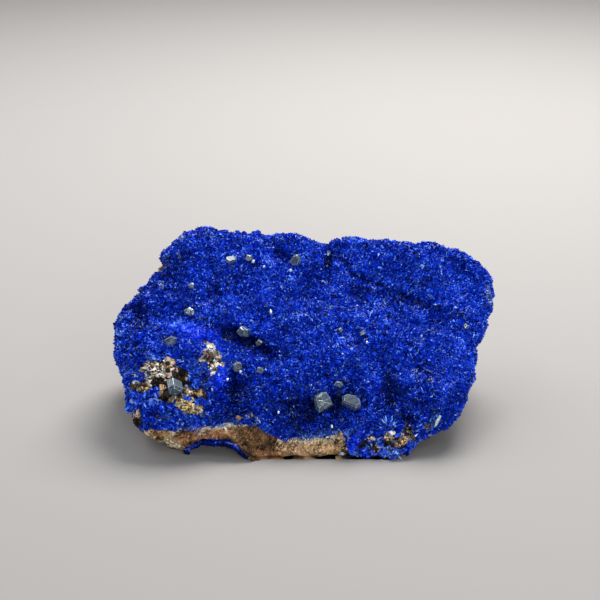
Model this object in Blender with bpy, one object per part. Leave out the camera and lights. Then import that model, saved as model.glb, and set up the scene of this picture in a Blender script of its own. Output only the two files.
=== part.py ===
"""Azurite specimen: a brown rock whose sloping face is covered by a crust of small blue crystals.

Units are metres in the scene and millimetres in the tables below. +Z is up, the rock rests on
z = 0, and its crystal face looks towards -Y and up. The origin is at the bottom centre.

Places on the crystal face are given in a leaning frame: u runs along +X, v climbs a plane that
leans LEAN degrees back from upright, and w stands out of that plane towards the front.
"""

import math
import random

import bmesh
import bpy
from mathutils import Matrix, Vector, noise
from mathutils.bvhtree import BVHTree

MM = 0.001

# The leaning frame, where its zero point stands, and the middle of the base, which is the origin.
LEAN = math.radians(25.0)
FRAME_ZERO = Vector((-0.8, -1.6, 25.2))
MIDDLE = Vector((0.38, -0.26, 0.0))
ACROSS = Vector((1.0, 0.0, 0.0))
CLIMB = Vector((0.0, math.sin(LEAN), math.cos(LEAN)))
OUT = Vector((0.0, -math.cos(LEAN), math.sin(LEAN)))

# The crystal face falls back from the leaning plane as it climbs.
FACE_SLOPE = 0.577
FACE_LEVEL = -9.2

# Outline of the specimen in (u, v), clockwise from the peak at the upper left.
OUTLINE = [
    (-22.6, 18.8), (-17.0, 17.0), (-12.9, 15.8), (-9.6, 14.7), (-5.0, 15.0), (0.6, 14.9),
    (4.4, 11.0), (7.4, 14.8), (12.0, 13.7), (18.6, 13.2), (24.4, 12.8), (30.8, 12.4),
    (35.2, 10.6), (40.0, 8.4), (41.8, 5.5), (42.2, 0.6), (41.2, -2.6), (38.8, -7.2),
    (36.6, -11.4), (36.4, -15.2), (35.0, -18.2), (33.6, -22.6), (29.9, -25.8), (26.7, -27.8),
    (22.4, -31.4), (16.2, -34.6), (2.4, -36.6), (-10.8, -36.0), (-17.0, -34.8), (-23.6, -32.6),
    (-26.4, -29.6), (-31.2, -26.8), (-33.4, -24.2), (-35.6, -19.8), (-37.6, -14.9), (-39.6, -10.8),
    (-39.6, -6.6), (-38.6, -2.4), (-35.8, 0.2), (-32.8, 2.6), (-31.6, 5.0), (-29.9, 7.6),
    (-29.2, 12.8), (-27.0, 16.4),
]
DRAWN_FRONT = 24.0
DRAWN_BACK = -60.0
BACK_TAPER = 0.86

# Planes that shape the block: a point of each and the direction that is cut away, upright frame.
CUTS = [
    ("underside", (0.0, 0.0, -1.3), (0.0, 0.0, -1.0)),
    ("front wall", (0.0, -23.4, 3.0), (0.0, -0.998, 0.06)),
    ("left front corner", (-24.8, -20.2, 2.0), (-0.36, -0.90, -0.25)),
    ("right front corner", (24.5, -21.8, 5.0), (0.36, -0.91, -0.20)),
    ("back wall", (0.0, 21.0, 16.0), (0.05, 0.985, 0.12)),
    ("back of the rim", (0.0, 20.6, 32.6), (0.0, 0.64, 0.77)),
    ("back left corner", (-31.0, 15.5, 15.0), (-0.66, 0.75, 0.06)),
    ("back right corner", (33.0, 15.5, 12.0), (0.66, 0.72, -0.20)),
    ("underside, right end", (14.5, 0.0, 0.0), (0.27, 0.05, -0.96)),
    ("underside, left end", (-25.0, 0.0, 0.0), (-0.42, 0.08, -0.90)),
    ("underside, back", (0.0, 16.5, 0.0), (-0.10, 0.45, -0.89)),
]

# Lumps and hollows of the face: u, v, half length, half width, turn in degrees, height.
LUMPS = [
    ("lower left knob", -25.5, -17.5, 10.5, 8.5, -10.0, 4.8),
    ("left lobe", -35.0, -6.5, 4.0, 6.0, 15.0, 1.4),
    ("upper left shoulder", -24.0, 6.0, 7.0, 5.0, 35.0, 0.8),
    ("ridge left of the notch", -5.0, 12.5, 5.5, 2.2, -20.0, 0.7),
    ("bright ridge at the notch", 3.6, 8.6, 1.8, 4.6, -10.0, 1.2),
    ("middle swell", 14.0, -8.0, 12.0, 6.0, -12.0, 1.1),
    ("right terrace bump", 32.3, -4.8, 4.0, 2.6, 10.0, 0.9),
    ("lower right bump", 29.5, -18.8, 3.5, 4.5, 0.0, 1.0),
    ("lower lip", 9.5, -26.5, 4.0, 2.2, 35.0, 0.9),
    ("left crease", -33.9, -3.2, 1.5, 3.4, 25.0, -1.8),
    ("hollow below the shoulder", -18.4, 2.6, 2.0, 4.6, 10.0, -1.2),
    ("hollow right of the knob", -13.4, -17.8, 2.6, 6.5, -8.0, -3.3),
    ("hollow below the crevice", -5.0, -12.0, 3.6, 2.6, -30.0, -1.0),
    ("lower right hollow", 19.5, -16.5, 3.4, 5.0, 20.0, -1.1),
    ("right hollow", 26.5, -13.5, 2.6, 4.6, 30.0, -0.9),
    ("upper right hollow", 34.6, 4.6, 2.4, 5.0, 15.0, -0.7),
    ("hollow at the big crystals", 5.6, -21.6, 6.5, 2.2, 0.0, -1.2),
]

# Grooves of the face: u, v of both ends, half width, height.
GROOVES = [
    ("groove in the upper middle", (-6.4, 12.4), (-1.6, 7.2), 1.3, -1.3),
    ("groove right of the notch", (5.6, 12.0), (5.8, 4.6), 1.2, -1.6),
    ("crevice", (-14.6, -6.4), (-6.8, -10.2), 1.5, -1.7),
    ("left crease", (-30.0, -4.0), (-19.0, -5.4), 1.6, -1.3),
]

# The bent line that parts the steep upper right scarp from the terrace below it.
CREASE = [(4.8, 12.0), (8.4, 6.3), (20.8, 0.2), (32.5, -1.6), (42.0, -0.6)]
CREASE_DEPTH = 3.0
CREASE_ABOVE = 12.0
CREASE_BELOW = 17.0

# Lower edge of the blue crust in (u, v); the rock is bare below it.
CRUST_EDGE = [
    (-45.0, -21.0), (-36.0, -22.0), (-31.0, -25.3), (-24.3, -25.3), (-17.9, -25.1),
    (-15.1, -24.4), (-8.8, -24.9), (-6.0, -26.5), (-3.5, -27.4), (6.5, -27.0),
    (9.4, -27.2), (10.2, -34.0), (14.0, -34.0), (15.6, -29.6), (20.0, -28.0),
    (26.0, -26.4), (31.0, -24.4), (45.0, -24.0),
]
KNOB_WINDOW = [
    (-31.6, -11.9), (-25.3, -11.7), (-20.6, -13.7), (-18.4, -18.3), (-18.9, -22.6),
    (-24.1, -22.3), (-29.8, -20.6), (-32.0, -18.2), (-32.0, -14.1),
]

# The arch under the front foot: centre across, depth, inner size, and its crust. It runs square
# to a front that falls back towards the left by ARCH_SLANT.
ARCH_X = -17.2
ARCH_FRONT = -20.9
ARCH_BACK = -9.0
ARCH_HALF_WIDTH = 5.4
ARCH_SLANT = 0.17
ARCH_HEIGHT = 3.1
ARCH_CRUST = 0.85
ARCH_FOOT = 0.4
ARCH_STEPS = 12
ARCH_LENGTHS = 4
ARCH_SWELL = 0.22

# Crust, gaps and the size of one facet. The crust's height has its crystals with it.
FACET = 2.62
GAP = 0.32
CRUST_THICKNESS = 1.05
CRUST_HEIGHT = 1.85
RIM_WRAP = 4.5
RIGHT_WRAP = 7.5
SMOOTHING_PASSES = 4
ROUNDING_LOSS = 2.4
DIRECTION_PASSES = 4
FACET_SHIFT = 0.18
FOLD_PASSES = 24
EDGE_PASSES = 3
CRYSTAL_RISE = (0.30, 1.45)
CRYSTAL_LEAN = 0.55
FLAT_BELOW = 1.2
CLEAR_OF_FLOOR = 0.3

# Roughness of the broken rock and of the crust: size of the bumps and their height.
ROCK_BUMPS = [(11.0, 2.2), (4.8, 0.7)]
CRUST_BUMPS = [(7.0, 0.7), (3.2, 0.35)]
LEDGE_RISE = 5.5
LEDGE_DEPTH = 1.3

# Lumps and pits of the rock in the knob window: u, v, radius, height.
WINDOW_LUMPS = [
    (-31.5, -13.8, 3.0, 0.9), (-26.2, -15.0, 2.4, 1.1), (-32.2, -17.2, 2.2, 0.8),
    (-22.4, -20.8, 2.6, 1.2), (-23.4, -16.2, 2.6, -1.9), (-26.8, -19.6, 2.0, -1.7),
]

# Grey crystals: u, v, length, width, height, turn and tilt in degrees, bevel.
GREY_CRYSTALS = [
    (4.2, -20.8, 4.0, 3.7, 3.2, 12.0, 8.0, 0.50),
    (10.3, -20.9, 3.8, 2.9, 2.8, -28.0, 12.0, 0.45),
    (-11.9, -7.4, 2.8, 2.6, 2.6, 40.0, 12.0, 0.35),
    (-0.8, 7.8, 2.2, 2.3, 2.3, 5.0, 12.0, 0.30),
    (-14.6, 7.8, 2.3, 1.8, 1.8, 25.0, 12.0, 0.00),
    (-10.6, 8.3, 1.8, 1.5, 1.7, -20.0, 12.0, 0.00),
    (-22.8, 2.4, 1.6, 1.5, 1.7, 15.0, 12.0, 0.00),
    (-22.9, -2.7, 2.2, 1.9, 1.9, -15.0, 12.0, 0.00),
    (-12.5, -14.1, 2.0, 1.9, 1.9, 30.0, 12.0, 0.00),
    (-8.2, -14.9, 1.9, 1.5, 1.7, -10.0, 12.0, 0.00),
    (-26.3, -9.2, 3.0, 1.9, 1.7, 10.0, 12.0, 0.00),
    (-24.7, -17.9, 3.0, 2.8, 3.0, 20.0, 12.0, 0.45),
    (12.9, -7.4, 1.6, 1.4, 1.6, 35.0, 12.0, 0.00),
    (8.2, -6.6, 1.5, 1.4, 1.6, 0.0, 12.0, 0.00),
    (34.1, -6.0, 1.6, 1.5, 1.6, 20.0, 12.0, 0.00),
    (7.6, -17.4, 2.0, 1.5, 1.6, -15.0, 12.0, 0.00),
    (5.9, 9.6, 1.6, 1.5, 1.6, 10.0, 12.0, 0.00),
    (-8.0, -8.4, 1.7, 1.5, 1.7, 25.0, 10.0, 0.00),
]
CRYSTAL_SUNK = 0.35
KEPT_LOW = 2.6
LOW_SHARE = 0.25
CRYSTAL_SIDES = 6

AZURITE = ("azurite", (0.010, 0.030, 0.420, 1.0), 0.28)
UNDER_AZURITE = ("azurite of the arch", (0.012, 0.035, 0.300, 1.0), 0.35)
ROCK = ("iron stained rock", (0.330, 0.180, 0.080, 1.0), 0.90)
CALCITE = ("grey calcite", (0.400, 0.450, 0.520, 1.0), 0.12)


def clear_scene():
    """Remove every object of the open scene."""
    for thing in list(bpy.data.objects):
        bpy.data.objects.remove(thing, do_unlink=True)


def material(name, colour, roughness):
    """A Principled material of one plain colour."""
    finish = bpy.data.materials.new(name)
    finish.use_nodes = True
    finish.diffuse_color = colour
    shader = finish.node_tree.nodes["Principled BSDF"]
    shader.inputs["Base Color"].default_value = colour
    shader.inputs["Roughness"].default_value = roughness
    shader.inputs["Metallic"].default_value = 0.0
    return finish


def upright(u, v, w):
    """A place of the leaning frame, in millimetres of the upright frame."""
    return FRAME_ZERO + ACROSS * u + CLIMB * v + OUT * w


def leaning(place):
    """The (u, v, w) of a place in millimetres of the upright frame."""
    offset = place - FRAME_ZERO
    return offset.dot(ACROSS), offset.dot(CLIMB), offset.dot(OUT)


def smoothstep(low, high, value):
    """0 at low, 1 at high and a smooth change between them; low may be the larger."""
    share = min(max((value - low) / (high - low), 0.0), 1.0)
    return share * share * (3.0 - 2.0 * share)


def along(line, u):
    """The v of a line of (u, v) points at u."""
    for (u0, v0), (u1, v1) in zip(line, line[1:]):
        if u <= u1:
            return v0 + (v1 - v0) * max(u - u0, 0.0) / (u1 - u0)
    return line[-1][1]


def inside(polygon, u, v):
    """Whether (u, v) lies in a polygon."""
    found = False
    for (u0, v0), (u1, v1) in zip(polygon, polygon[1:] + polygon[:1]):
        if (v0 > v) != (v1 > v) and u < u0 + (u1 - u0) * (v - v0) / (v1 - v0):
            found = not found
    return found


def bumps(place, octaves, seed):
    """Sum of smooth noise, each octave a size and a height in millimetres."""
    return sum(height * noise.noise(place / size + Vector((seed, 0.0, 0.0))) for size, height in octaves)


def face_relief(u, v):
    """Height of the crystal face over its mean plane, from the named lumps, grooves and crease."""
    height = 0.0
    for _, u0, v0, half_u, half_v, turn, rise in LUMPS:
        cosine, sine = math.cos(math.radians(turn)), math.sin(math.radians(turn))
        a = ((u - u0) * cosine + (v - v0) * sine) / half_u
        b = ((v - v0) * cosine - (u - u0) * sine) / half_v
        height += rise * math.exp(-a * a - b * b)
    for _, start, end, half_width, rise in GROOVES:
        run = Vector(end) - Vector(start)
        share = min(max((Vector((u, v)) - Vector(start)).dot(run) / run.length_squared, 0.0), 1.0)
        away = (Vector((u, v)) - Vector(start) - run * share).length / half_width
        height += rise * math.exp(-away * away)
    over = v - along(CREASE, u)
    reach = CREASE_ABOVE if over > 0.0 else CREASE_BELOW
    height -= CREASE_DEPTH * max(1.0 - abs(over) / reach, 0.0) * smoothstep(4.0, 14.0, u)
    return height


def rock_relief(place):
    """Height of the broken rock: lumps, and ledges that follow its bedding."""
    bed = (place.z + 0.22 * place.x + 2.0 * noise.noise(place / 11.0)) / LEDGE_RISE
    ledge = smoothstep(0.25, 0.60, bed - math.floor(bed)) - 0.5
    return bumps(place, ROCK_BUMPS, 7.0) + LEDGE_DEPTH * ledge


def window_relief(u, v):
    """Lumps and pits of the rock in the knob window."""
    return sum(rise * math.exp(-((u - u0) ** 2 + (v - v0) ** 2) / radius ** 2)
               for u0, v0, radius, rise in WINDOW_LUMPS)


def cut_away(block, point, direction):
    """Cut the block by a plane, remove what lies beyond it and close the cut."""
    geometry = block.verts[:] + block.edges[:] + block.faces[:]
    result = bmesh.ops.bisect_plane(block, geom=geometry, plane_co=point, plane_no=direction,
                                    clear_outer=True, dist=0.001)
    edges = [item for item in result["geom_cut"] if isinstance(item, bmesh.types.BMEdge)]
    bmesh.ops.triangle_fill(block, use_beauty=True, edges=edges)


def rock_outline():
    """The outline, moved out by what rounding takes and in by the crust's height where it is covered."""
    points = [Vector(point) for point in OUTLINE]
    moved = []
    for before, point, after in zip(points[-1:] + points[:-1], points, points[1:] + points[:1]):
        run = (after - before).normalized()
        inwards = Vector((run.y, -run.x))
        covered = point.y > along(CRUST_EDGE, point.x)
        moved.append(point + inwards * ((CRUST_HEIGHT if covered else 0.0) - ROUNDING_LOSS))
    return moved


def rough_block():
    """The rock's outline drawn out backwards, narrowing a little, and cut by the planes of the sides."""
    block = bmesh.new()
    outline = rock_outline()
    front = [block.verts.new(upright(u, v, DRAWN_FRONT)) for u, v in outline]
    back = [block.verts.new(upright(u * BACK_TAPER, v * BACK_TAPER, DRAWN_BACK)) for u, v in outline]
    block.faces.new(front)
    block.faces.new(reversed(back))
    for i in range(len(outline)):
        j = (i + 1) % len(outline)
        block.faces.new((front[i], back[i], back[j], front[j]))
    bmesh.ops.triangulate(block, faces=block.faces[:])
    bmesh.ops.recalc_face_normals(block, faces=block.faces[:])
    face_normal = (OUT + CLIMB * FACE_SLOPE).normalized()
    cut_away(block, upright(0.0, FACE_LEVEL, 0.0) - face_normal * CRUST_HEIGHT, face_normal)
    for _, point, direction in CUTS:
        cut_away(block, Vector(point), Vector(direction).normalized())
    bmesh.ops.remove_doubles(block, verts=block.verts[:], dist=0.002)
    bmesh.ops.recalc_face_normals(block, faces=block.faces[:])
    return block


def evaluated(bm, name, modifiers):
    """The bmesh after a list of modifiers, each a name, a type and its settings."""
    mesh = bpy.data.meshes.new(name)
    bm.to_mesh(mesh)
    bm.free()
    thing = bpy.data.objects.new(name, mesh)
    bpy.context.scene.collection.objects.link(thing)
    for kind, settings in modifiers:
        modifier = thing.modifiers.new(kind.lower(), kind)
        for key, value in settings.items():
            setattr(modifier, key, value)
    graph = bpy.context.evaluated_depsgraph_get()
    result = bmesh.new()
    result.from_mesh(bpy.data.meshes.new_from_object(thing.evaluated_get(graph)))
    bpy.data.objects.remove(thing, do_unlink=True)
    return result


def halves(face):
    """The two triangles of a facet, parted between its first point by number and the one opposite."""
    corners = list(face.verts)
    first = min(range(len(corners)), key=lambda i: corners[i].index)
    corners = corners[first:] + corners[:first]
    return [(corners[0], corners[i], corners[i + 1]) for i in range(1, len(corners) - 1)]


def ease_folds(bm):
    """Smooth the few facets that pass through others, until none does."""
    bm.verts.ensure_lookup_table()
    for _ in range(FOLD_PASSES):
        bm.verts.index_update()
        bm.normal_update()
        triangles = [[vert.index for vert in triangle] for face in bm.faces for triangle in halves(face)]
        tree = BVHTree.FromPolygons([vert.co for vert in bm.verts], triangles)
        folded = set()
        for i, j in tree.overlap(tree):
            if i != j and not set(triangles[i]) & set(triangles[j]):
                folded.update(triangles[i])
        if not folded:
            return
        for vert in [bm.verts[i] for i in sorted(folded)]:
            ring = [edge.other_vert(vert).co for edge in vert.link_edges]
            middle = sum(ring, Vector()) / len(ring)
            vert.co = vert.co.lerp(middle, 0.5)


def rounded_body():
    """The block in even facets, its corners rounded and its surface given its relief."""
    body = evaluated(rough_block(), "body", [
        ("REMESH", {"mode": "VOXEL", "voxel_size": FACET, "adaptivity": 0.0}),
        ("SMOOTH", {"factor": 0.5, "iterations": SMOOTHING_PASSES}),
    ])
    body.normal_update()
    moves = []
    for vert in body.verts:
        u, v, _ = leaning(vert.co)
        facing = smoothstep(0.15, 0.75, vert.normal.dot(OUT))
        relief = facing * (face_relief(u, v) + bumps(vert.co, CRUST_BUMPS, 3.0))
        rough = smoothstep(0.45, -0.35, vert.normal.dot(OUT)) * rock_relief(vert.co)
        moves.append(OUT * relief + vert.normal * rough)
    floor = [vert for vert in body.verts if vert.co.z < FLAT_BELOW]
    for vert, move in zip(body.verts, moves):
        vert.co += move
        vert.co.z = max(vert.co.z, FLAT_BELOW)
    bmesh.ops.smooth_vert(body, verts=body.verts[:], factor=0.35, use_axis_x=True, use_axis_y=True,
                          use_axis_z=True)
    draw = random.Random(11)
    body.normal_update()
    for vert in body.verts:
        shift = Vector((draw.uniform(-1, 1), draw.uniform(-1, 1), draw.uniform(-1, 1)))
        shift -= vert.normal * shift.dot(vert.normal)
        vert.co += shift * FACET * FACET_SHIFT
    for vert in floor:
        vert.co.z = 0.0
    ease_folds(body)
    return body


def outward_directions(body):
    """The direction out of the body at each point, evened out so that offsets don't cross."""
    body.verts.index_update()
    directions = [vert.normal.copy() for vert in body.verts]
    for _ in range(DIRECTION_PASSES):
        directions = [
            sum((directions[edge.other_vert(vert).index] for edge in vert.link_edges), directions[vert.index])
            .normalized()
            for vert in body.verts
        ]
    return directions


def is_covered(face):
    """Whether the blue crust lies on a facet of the body: on its front, and a little over the rim."""
    if min(vert.co.z for vert in face.verts) < CLEAR_OF_FLOOR:
        return False
    u, v, w = leaning(face.calc_center_median())
    turned = face.normal.dot(OUT)
    behind = -FACE_SLOPE * (v - FACE_LEVEL) - w
    reach = RIGHT_WRAP if u > 30.0 else RIM_WRAP
    on_face = turned > 0.45 or (turned > -0.45 and behind < reach)
    return on_face and v > along(CRUST_EDGE, u) and not inside(KNOB_WINDOW, u, v)


def crust_faces(body):
    """The facets under the crust, with stray ones and points that touch at a corner cleaned."""
    covered = {face for face in body.faces if is_covered(face)}
    for _ in range(6):
        for face in body.faces:
            around = [other for edge in face.edges for other in edge.link_faces if other != face]
            count = sum(other in covered for other in around)
            if face in covered and count <= 1:
                covered.discard(face)
            if face not in covered and count >= 3:
                covered.add(face)
        for vert in body.verts:
            sides = [sum(face in covered for face in edge.link_faces) for edge in vert.link_edges]
            if sides.count(1) > 2:
                covered.update(vert.link_faces)
    groups = []
    left = set(covered)
    while left:
        group, queue = set(), [left.pop()]
        while queue:
            face = queue.pop()
            group.add(face)
            for edge in face.edges:
                for other in edge.link_faces:
                    if other in left:
                        left.discard(other)
                        queue.append(other)
        groups.append(group)
    return max(groups, key=len)


def ease_crust_edge(body, covered):
    """Draw the crust's edge into an easy line, so that it doesn't follow the facets in steps."""
    ring = {}
    for edge in body.edges:
        if sum(face in covered for face in edge.link_faces) == 1:
            for vert in edge.verts:
                ring.setdefault(vert, []).append(edge.other_vert(vert))
    for _ in range(EDGE_PASSES):
        moved = {vert: vert.co.lerp(sum((other.co for other in beside), Vector()) / len(beside), 0.45)
                 for vert, beside in ring.items()}
        for vert, place in moved.items():
            vert.co = place
    ease_folds(body)


def crust_solid(body, covered, directions, seats):
    """The crust as one solid: crystals on its outer side, and its inner side clear of the rock."""
    crust = bmesh.new()
    under = sorted({vert for face in covered for vert in face.verts}, key=lambda item: item.index)
    outer, inner = {}, {}
    for vert in under:
        seat = vert.co + vert.normal * GAP
        inner[vert] = crust.verts.new(seat)
        outer[vert] = crust.verts.new(seat + directions[vert.index] * CRUST_THICKNESS)
    faces = []
    for face in sorted(covered, key=lambda item: item.index):
        faces.append(crust.faces.new([outer[loop.vert] for loop in face.loops]))
        for triangle in halves(face):
            crust.faces.new([inner[vert] for vert in reversed(triangle)])
        for loop in face.loops:
            if sum(other in covered for other in loop.edge.link_faces) == 1:
                start, end = loop.vert, loop.link_loop_next.vert
                crust.faces.new((outer[end], outer[start], inner[start], inner[end]))
    draw = random.Random(23)
    crust.normal_update()
    normals = [face.normal.copy() for face in faces]
    tips = bmesh.ops.poke(crust, faces=faces)["verts"]
    for tip, normal in zip(tips, normals):
        lean = Vector((draw.uniform(-1, 1), draw.uniform(-1, 1), draw.uniform(-1, 1)))
        lean -= normal * lean.dot(normal)
        rise = normal * draw.uniform(*CRYSTAL_RISE) + lean * CRYSTAL_LEAN
        beside = any((tip.co - seat.translation).length < KEPT_LOW for seat in seats)
        tip.co += rise * (LOW_SHARE if beside else 1.0)
    for vert in crust.verts:
        vert.co.z = max(vert.co.z, CLEAR_OF_FLOOR)
    return crust


def matrix_solid(body, covered, directions):
    """The rock: the body, with the lumps and pits of the knob window."""
    rock = bmesh.new()
    copies = []
    for vert in body.verts:
        u, v, _ = leaning(vert.co)
        in_front = vert.normal.dot(OUT) > 0.3
        bare = in_front and inside(KNOB_WINDOW, u, v) and covered.isdisjoint(vert.link_faces)
        lump = window_relief(u, v) if bare else 0.0
        copies.append(rock.verts.new(vert.co + directions[vert.index] * lump))
    for face in body.faces:
        for triangle in halves(face):
            rock.faces.new([copies[vert.index] for vert in triangle])
    floor = [face for face in rock.faces if all(vert.co.z < 1e-6 for vert in face.verts)]
    bmesh.ops.dissolve_faces(rock, faces=floor)
    return rock


def arch_ring(grow, y, foot=0.0):
    """Half an uneven ellipse in (x, z) at y, grown by a distance, from its right foot to its left."""
    height = ARCH_HEIGHT + grow
    lowest = math.asin(foot / height)
    points = []
    for step in range(ARCH_STEPS + 1):
        angle = lowest + (math.pi - 2.0 * lowest) * step / ARCH_STEPS
        swell = 1.0 + ARCH_SWELL * noise.noise(Vector((1.7 * math.cos(angle), 1.7 * math.sin(angle), y / 5.0)))
        x = ARCH_X + (ARCH_HALF_WIDTH + grow) * math.cos(angle) * swell
        points.append((x, y + ARCH_SLANT * (ARCH_X - x), max(height * math.sin(angle) * swell, foot)))
    return points


def lofted(rings):
    """A closed solid through rings of equal length, its ends capped."""
    solid = bmesh.new()
    loops = [[solid.verts.new(point) for point in ring] for ring in rings]
    solid.faces.new(loops[0])
    solid.faces.new(reversed(loops[-1]))
    for near, far in zip(loops, loops[1:]):
        for i in range(len(near)):
            j = (i + 1) % len(near)
            solid.faces.new((near[i], far[i], far[j], near[j]))
    bmesh.ops.recalc_face_normals(solid, faces=solid.faces[:])
    return solid


def arch_stations():
    """The places along Y where the arch's rings stand."""
    step = (ARCH_BACK - ARCH_FRONT) / ARCH_LENGTHS
    return [ARCH_FRONT + step * i for i in range(ARCH_LENGTHS + 1)]


def arch_cutter():
    """The hollow of the arch, wide enough for its crust and the gap round it."""
    rings = []
    for y in [ARCH_FRONT - 8.0] + arch_stations() + [ARCH_BACK + GAP]:
        ring = arch_ring(ARCH_CRUST + GAP, min(max(y, ARCH_FRONT), ARCH_BACK))
        ring = [(ring[0][0], ring[0][1], -2.0)] + ring + [(ring[-1][0], ring[-1][1], -2.0)]
        shift = y - min(max(y, ARCH_FRONT), ARCH_BACK)
        rings.append([(x, depth + shift, z) for x, depth, z in ring])
    return lofted(rings)


def arch_crust():
    """The thin crust that lines the arch, with crystals on its inner side and a ragged front edge."""
    rings = [arch_ring(ARCH_CRUST, y, ARCH_FOOT) + arch_ring(0.0, y, ARCH_FOOT)[::-1] for y in arch_stations()]
    lining = lofted(rings)
    draw = random.Random(31)
    for vert in lining.verts:
        if vert.co.y - ARCH_SLANT * (ARCH_X - vert.co.x) < ARCH_FRONT + 0.1:
            vert.co.y += draw.uniform(-0.4, 0.5)
    lining.normal_update()
    centre = Vector((ARCH_X, 0.0, 0.0))
    within = []
    for face in lining.faces:
        middle = face.calc_center_median()
        towards = Vector((centre.x - middle.x, 0.0, -middle.z)).normalized()
        if len(face.verts) == 4 and face.normal.dot(towards) > 0.8:
            within.append(face)
    normals = [face.normal.copy() for face in within]
    for tip, normal in zip(bmesh.ops.poke(lining, faces=within)["verts"], normals):
        tip.co += normal * draw.uniform(0.2, 0.6)
    for vert in lining.verts:
        vert.co.z = max(vert.co.z, ARCH_FOOT)
    return lining


def grey_crystal(length, width, height, bevel=0.0):
    """A blocky six-sided crystal about its own centre, with bevelled ends."""
    crystal = bmesh.new()
    bmesh.ops.create_cone(crystal, cap_ends=True, segments=CRYSTAL_SIDES, radius1=0.5, radius2=0.5, depth=1.0)
    bmesh.ops.scale(crystal, vec=(length, width, height), verts=crystal.verts[:])
    rims = [edge for edge in crystal.edges if abs(edge.verts[0].co.z - edge.verts[1].co.z) < 1e-6]
    if bevel > 0.0:
        bmesh.ops.bevel(crystal, geom=rims, offset=bevel, segments=1, affect="EDGES")
    return crystal


def crystal_places(body):
    """For each grey crystal: its seat on the body, as a turn and a place in millimetres."""
    tree = BVHTree.FromBMesh(body)
    places = []
    for u, v, length, width, height, turn, tilt, _ in GREY_CRYSTALS:
        spot, normal, _, _ = tree.ray_cast(upright(u, v, DRAWN_FRONT), -OUT)
        outward = (normal * 2.0 + OUT).normalized()
        base = 0.0 if inside(KNOB_WINDOW, u, v) else GAP + CRUST_THICKNESS
        seat = Matrix.Translation(spot + outward * (base + 0.5 * height - CRYSTAL_SUNK))
        seat @= outward.to_track_quat("Z", "Y").to_matrix().to_4x4()
        seat @= Matrix.Rotation(math.radians(turn), 4, "Z") @ Matrix.Rotation(math.radians(tilt), 4, "X")
        places.append(seat)
    return places


def pocket_cutter(seats):
    """All the pockets as one mesh: each crystal grown until every side has moved out by the gap."""
    cutter = bmesh.new()
    for seat, (_, _, length, width, height, _, _, _) in zip(seats, GREY_CRYSTALS):
        pocket = grey_crystal(length, width, height)
        pocket.normal_update()
        nearest = min(face.verts[0].co.dot(face.normal) for face in pocket.faces)
        bmesh.ops.scale(pocket, vec=Vector((1, 1, 1)) * (1.0 + GAP / nearest), verts=pocket.verts[:])
        pocket.transform(seat)
        shape = bpy.data.meshes.new("pocket")
        pocket.to_mesh(shape)
        pocket.free()
        cutter.from_mesh(shape)
        bpy.data.meshes.remove(shape)
    return cutter


def place_object(name, bm, finish):
    """Turn a bmesh in millimetres into a named object in metres."""
    bmesh.ops.translate(bm, vec=-MIDDLE, verts=bm.verts[:])
    bmesh.ops.scale(bm, vec=(MM, MM, MM), verts=bm.verts[:])
    mesh = bpy.data.meshes.new(name)
    bm.to_mesh(mesh)
    bm.free()
    mesh.materials.append(finish)
    thing = bpy.data.objects.new(name, mesh)
    bpy.context.scene.collection.objects.link(thing)
    return thing


def add_cutter(target, cutter):
    """Cut a cutter out of a target, and keep the cutter out of the model."""
    cutter.hide_render = True
    cutter.display_type = "WIRE"
    cut = target.modifiers.new(cutter.name, "BOOLEAN")
    cut.operation = "DIFFERENCE"
    cut.solver = "EXACT"
    cut.object = cutter


def main():
    """Build the rock, its crust, the arch's crust and the grey crystals."""
    clear_scene()
    azurite = material(*AZURITE)
    under_azurite = material(*UNDER_AZURITE)
    rock_finish = material(*ROCK)
    calcite = material(*CALCITE)

    body = rounded_body()
    covered = crust_faces(body)
    ease_crust_edge(body, covered)
    directions = outward_directions(body)
    seats = crystal_places(body)

    rock = place_object("matrix_rock", matrix_solid(body, covered, directions), rock_finish)
    crust = place_object("azurite_crust", crust_solid(body, covered, directions, seats), azurite)
    place_object("azurite_under_crust", arch_crust(), under_azurite)
    arch = place_object("arch_cutter", arch_cutter(), rock_finish)
    pockets = place_object("pocket_cutter", pocket_cutter(seats), calcite)
    add_cutter(rock, pockets)
    add_cutter(rock, arch)
    add_cutter(crust, pockets)

    for number, (seat, row) in enumerate(zip(seats, GREY_CRYSTALS), 1):
        _, _, length, width, height, _, _, bevel = row
        crystal = grey_crystal(length, width, height, bevel)
        crystal.transform(seat)
        place_object(f"calcite_crystal_{number:02d}", crystal, calcite)


main()
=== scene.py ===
import math

import bmesh
import bpy
import numpy as np
from mathutils import Matrix, Vector, noise
from mathutils.bvhtree import BVHTree


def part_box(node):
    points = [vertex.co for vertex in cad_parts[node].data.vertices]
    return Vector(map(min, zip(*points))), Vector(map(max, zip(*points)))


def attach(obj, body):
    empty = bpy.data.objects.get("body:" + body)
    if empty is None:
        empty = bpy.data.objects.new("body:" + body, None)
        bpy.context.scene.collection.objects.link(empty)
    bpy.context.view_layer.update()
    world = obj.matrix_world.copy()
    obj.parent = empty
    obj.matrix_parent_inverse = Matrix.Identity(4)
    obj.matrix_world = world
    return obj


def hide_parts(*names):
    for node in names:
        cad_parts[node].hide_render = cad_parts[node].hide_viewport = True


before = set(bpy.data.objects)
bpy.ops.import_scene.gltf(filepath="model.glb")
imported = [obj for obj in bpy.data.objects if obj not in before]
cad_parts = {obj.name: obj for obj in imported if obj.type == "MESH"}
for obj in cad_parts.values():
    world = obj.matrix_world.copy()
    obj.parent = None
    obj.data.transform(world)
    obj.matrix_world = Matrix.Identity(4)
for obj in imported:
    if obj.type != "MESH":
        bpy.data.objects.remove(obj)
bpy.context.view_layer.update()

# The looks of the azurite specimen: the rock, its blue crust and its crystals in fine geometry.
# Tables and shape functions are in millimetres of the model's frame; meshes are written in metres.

MM = 0.001

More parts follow.
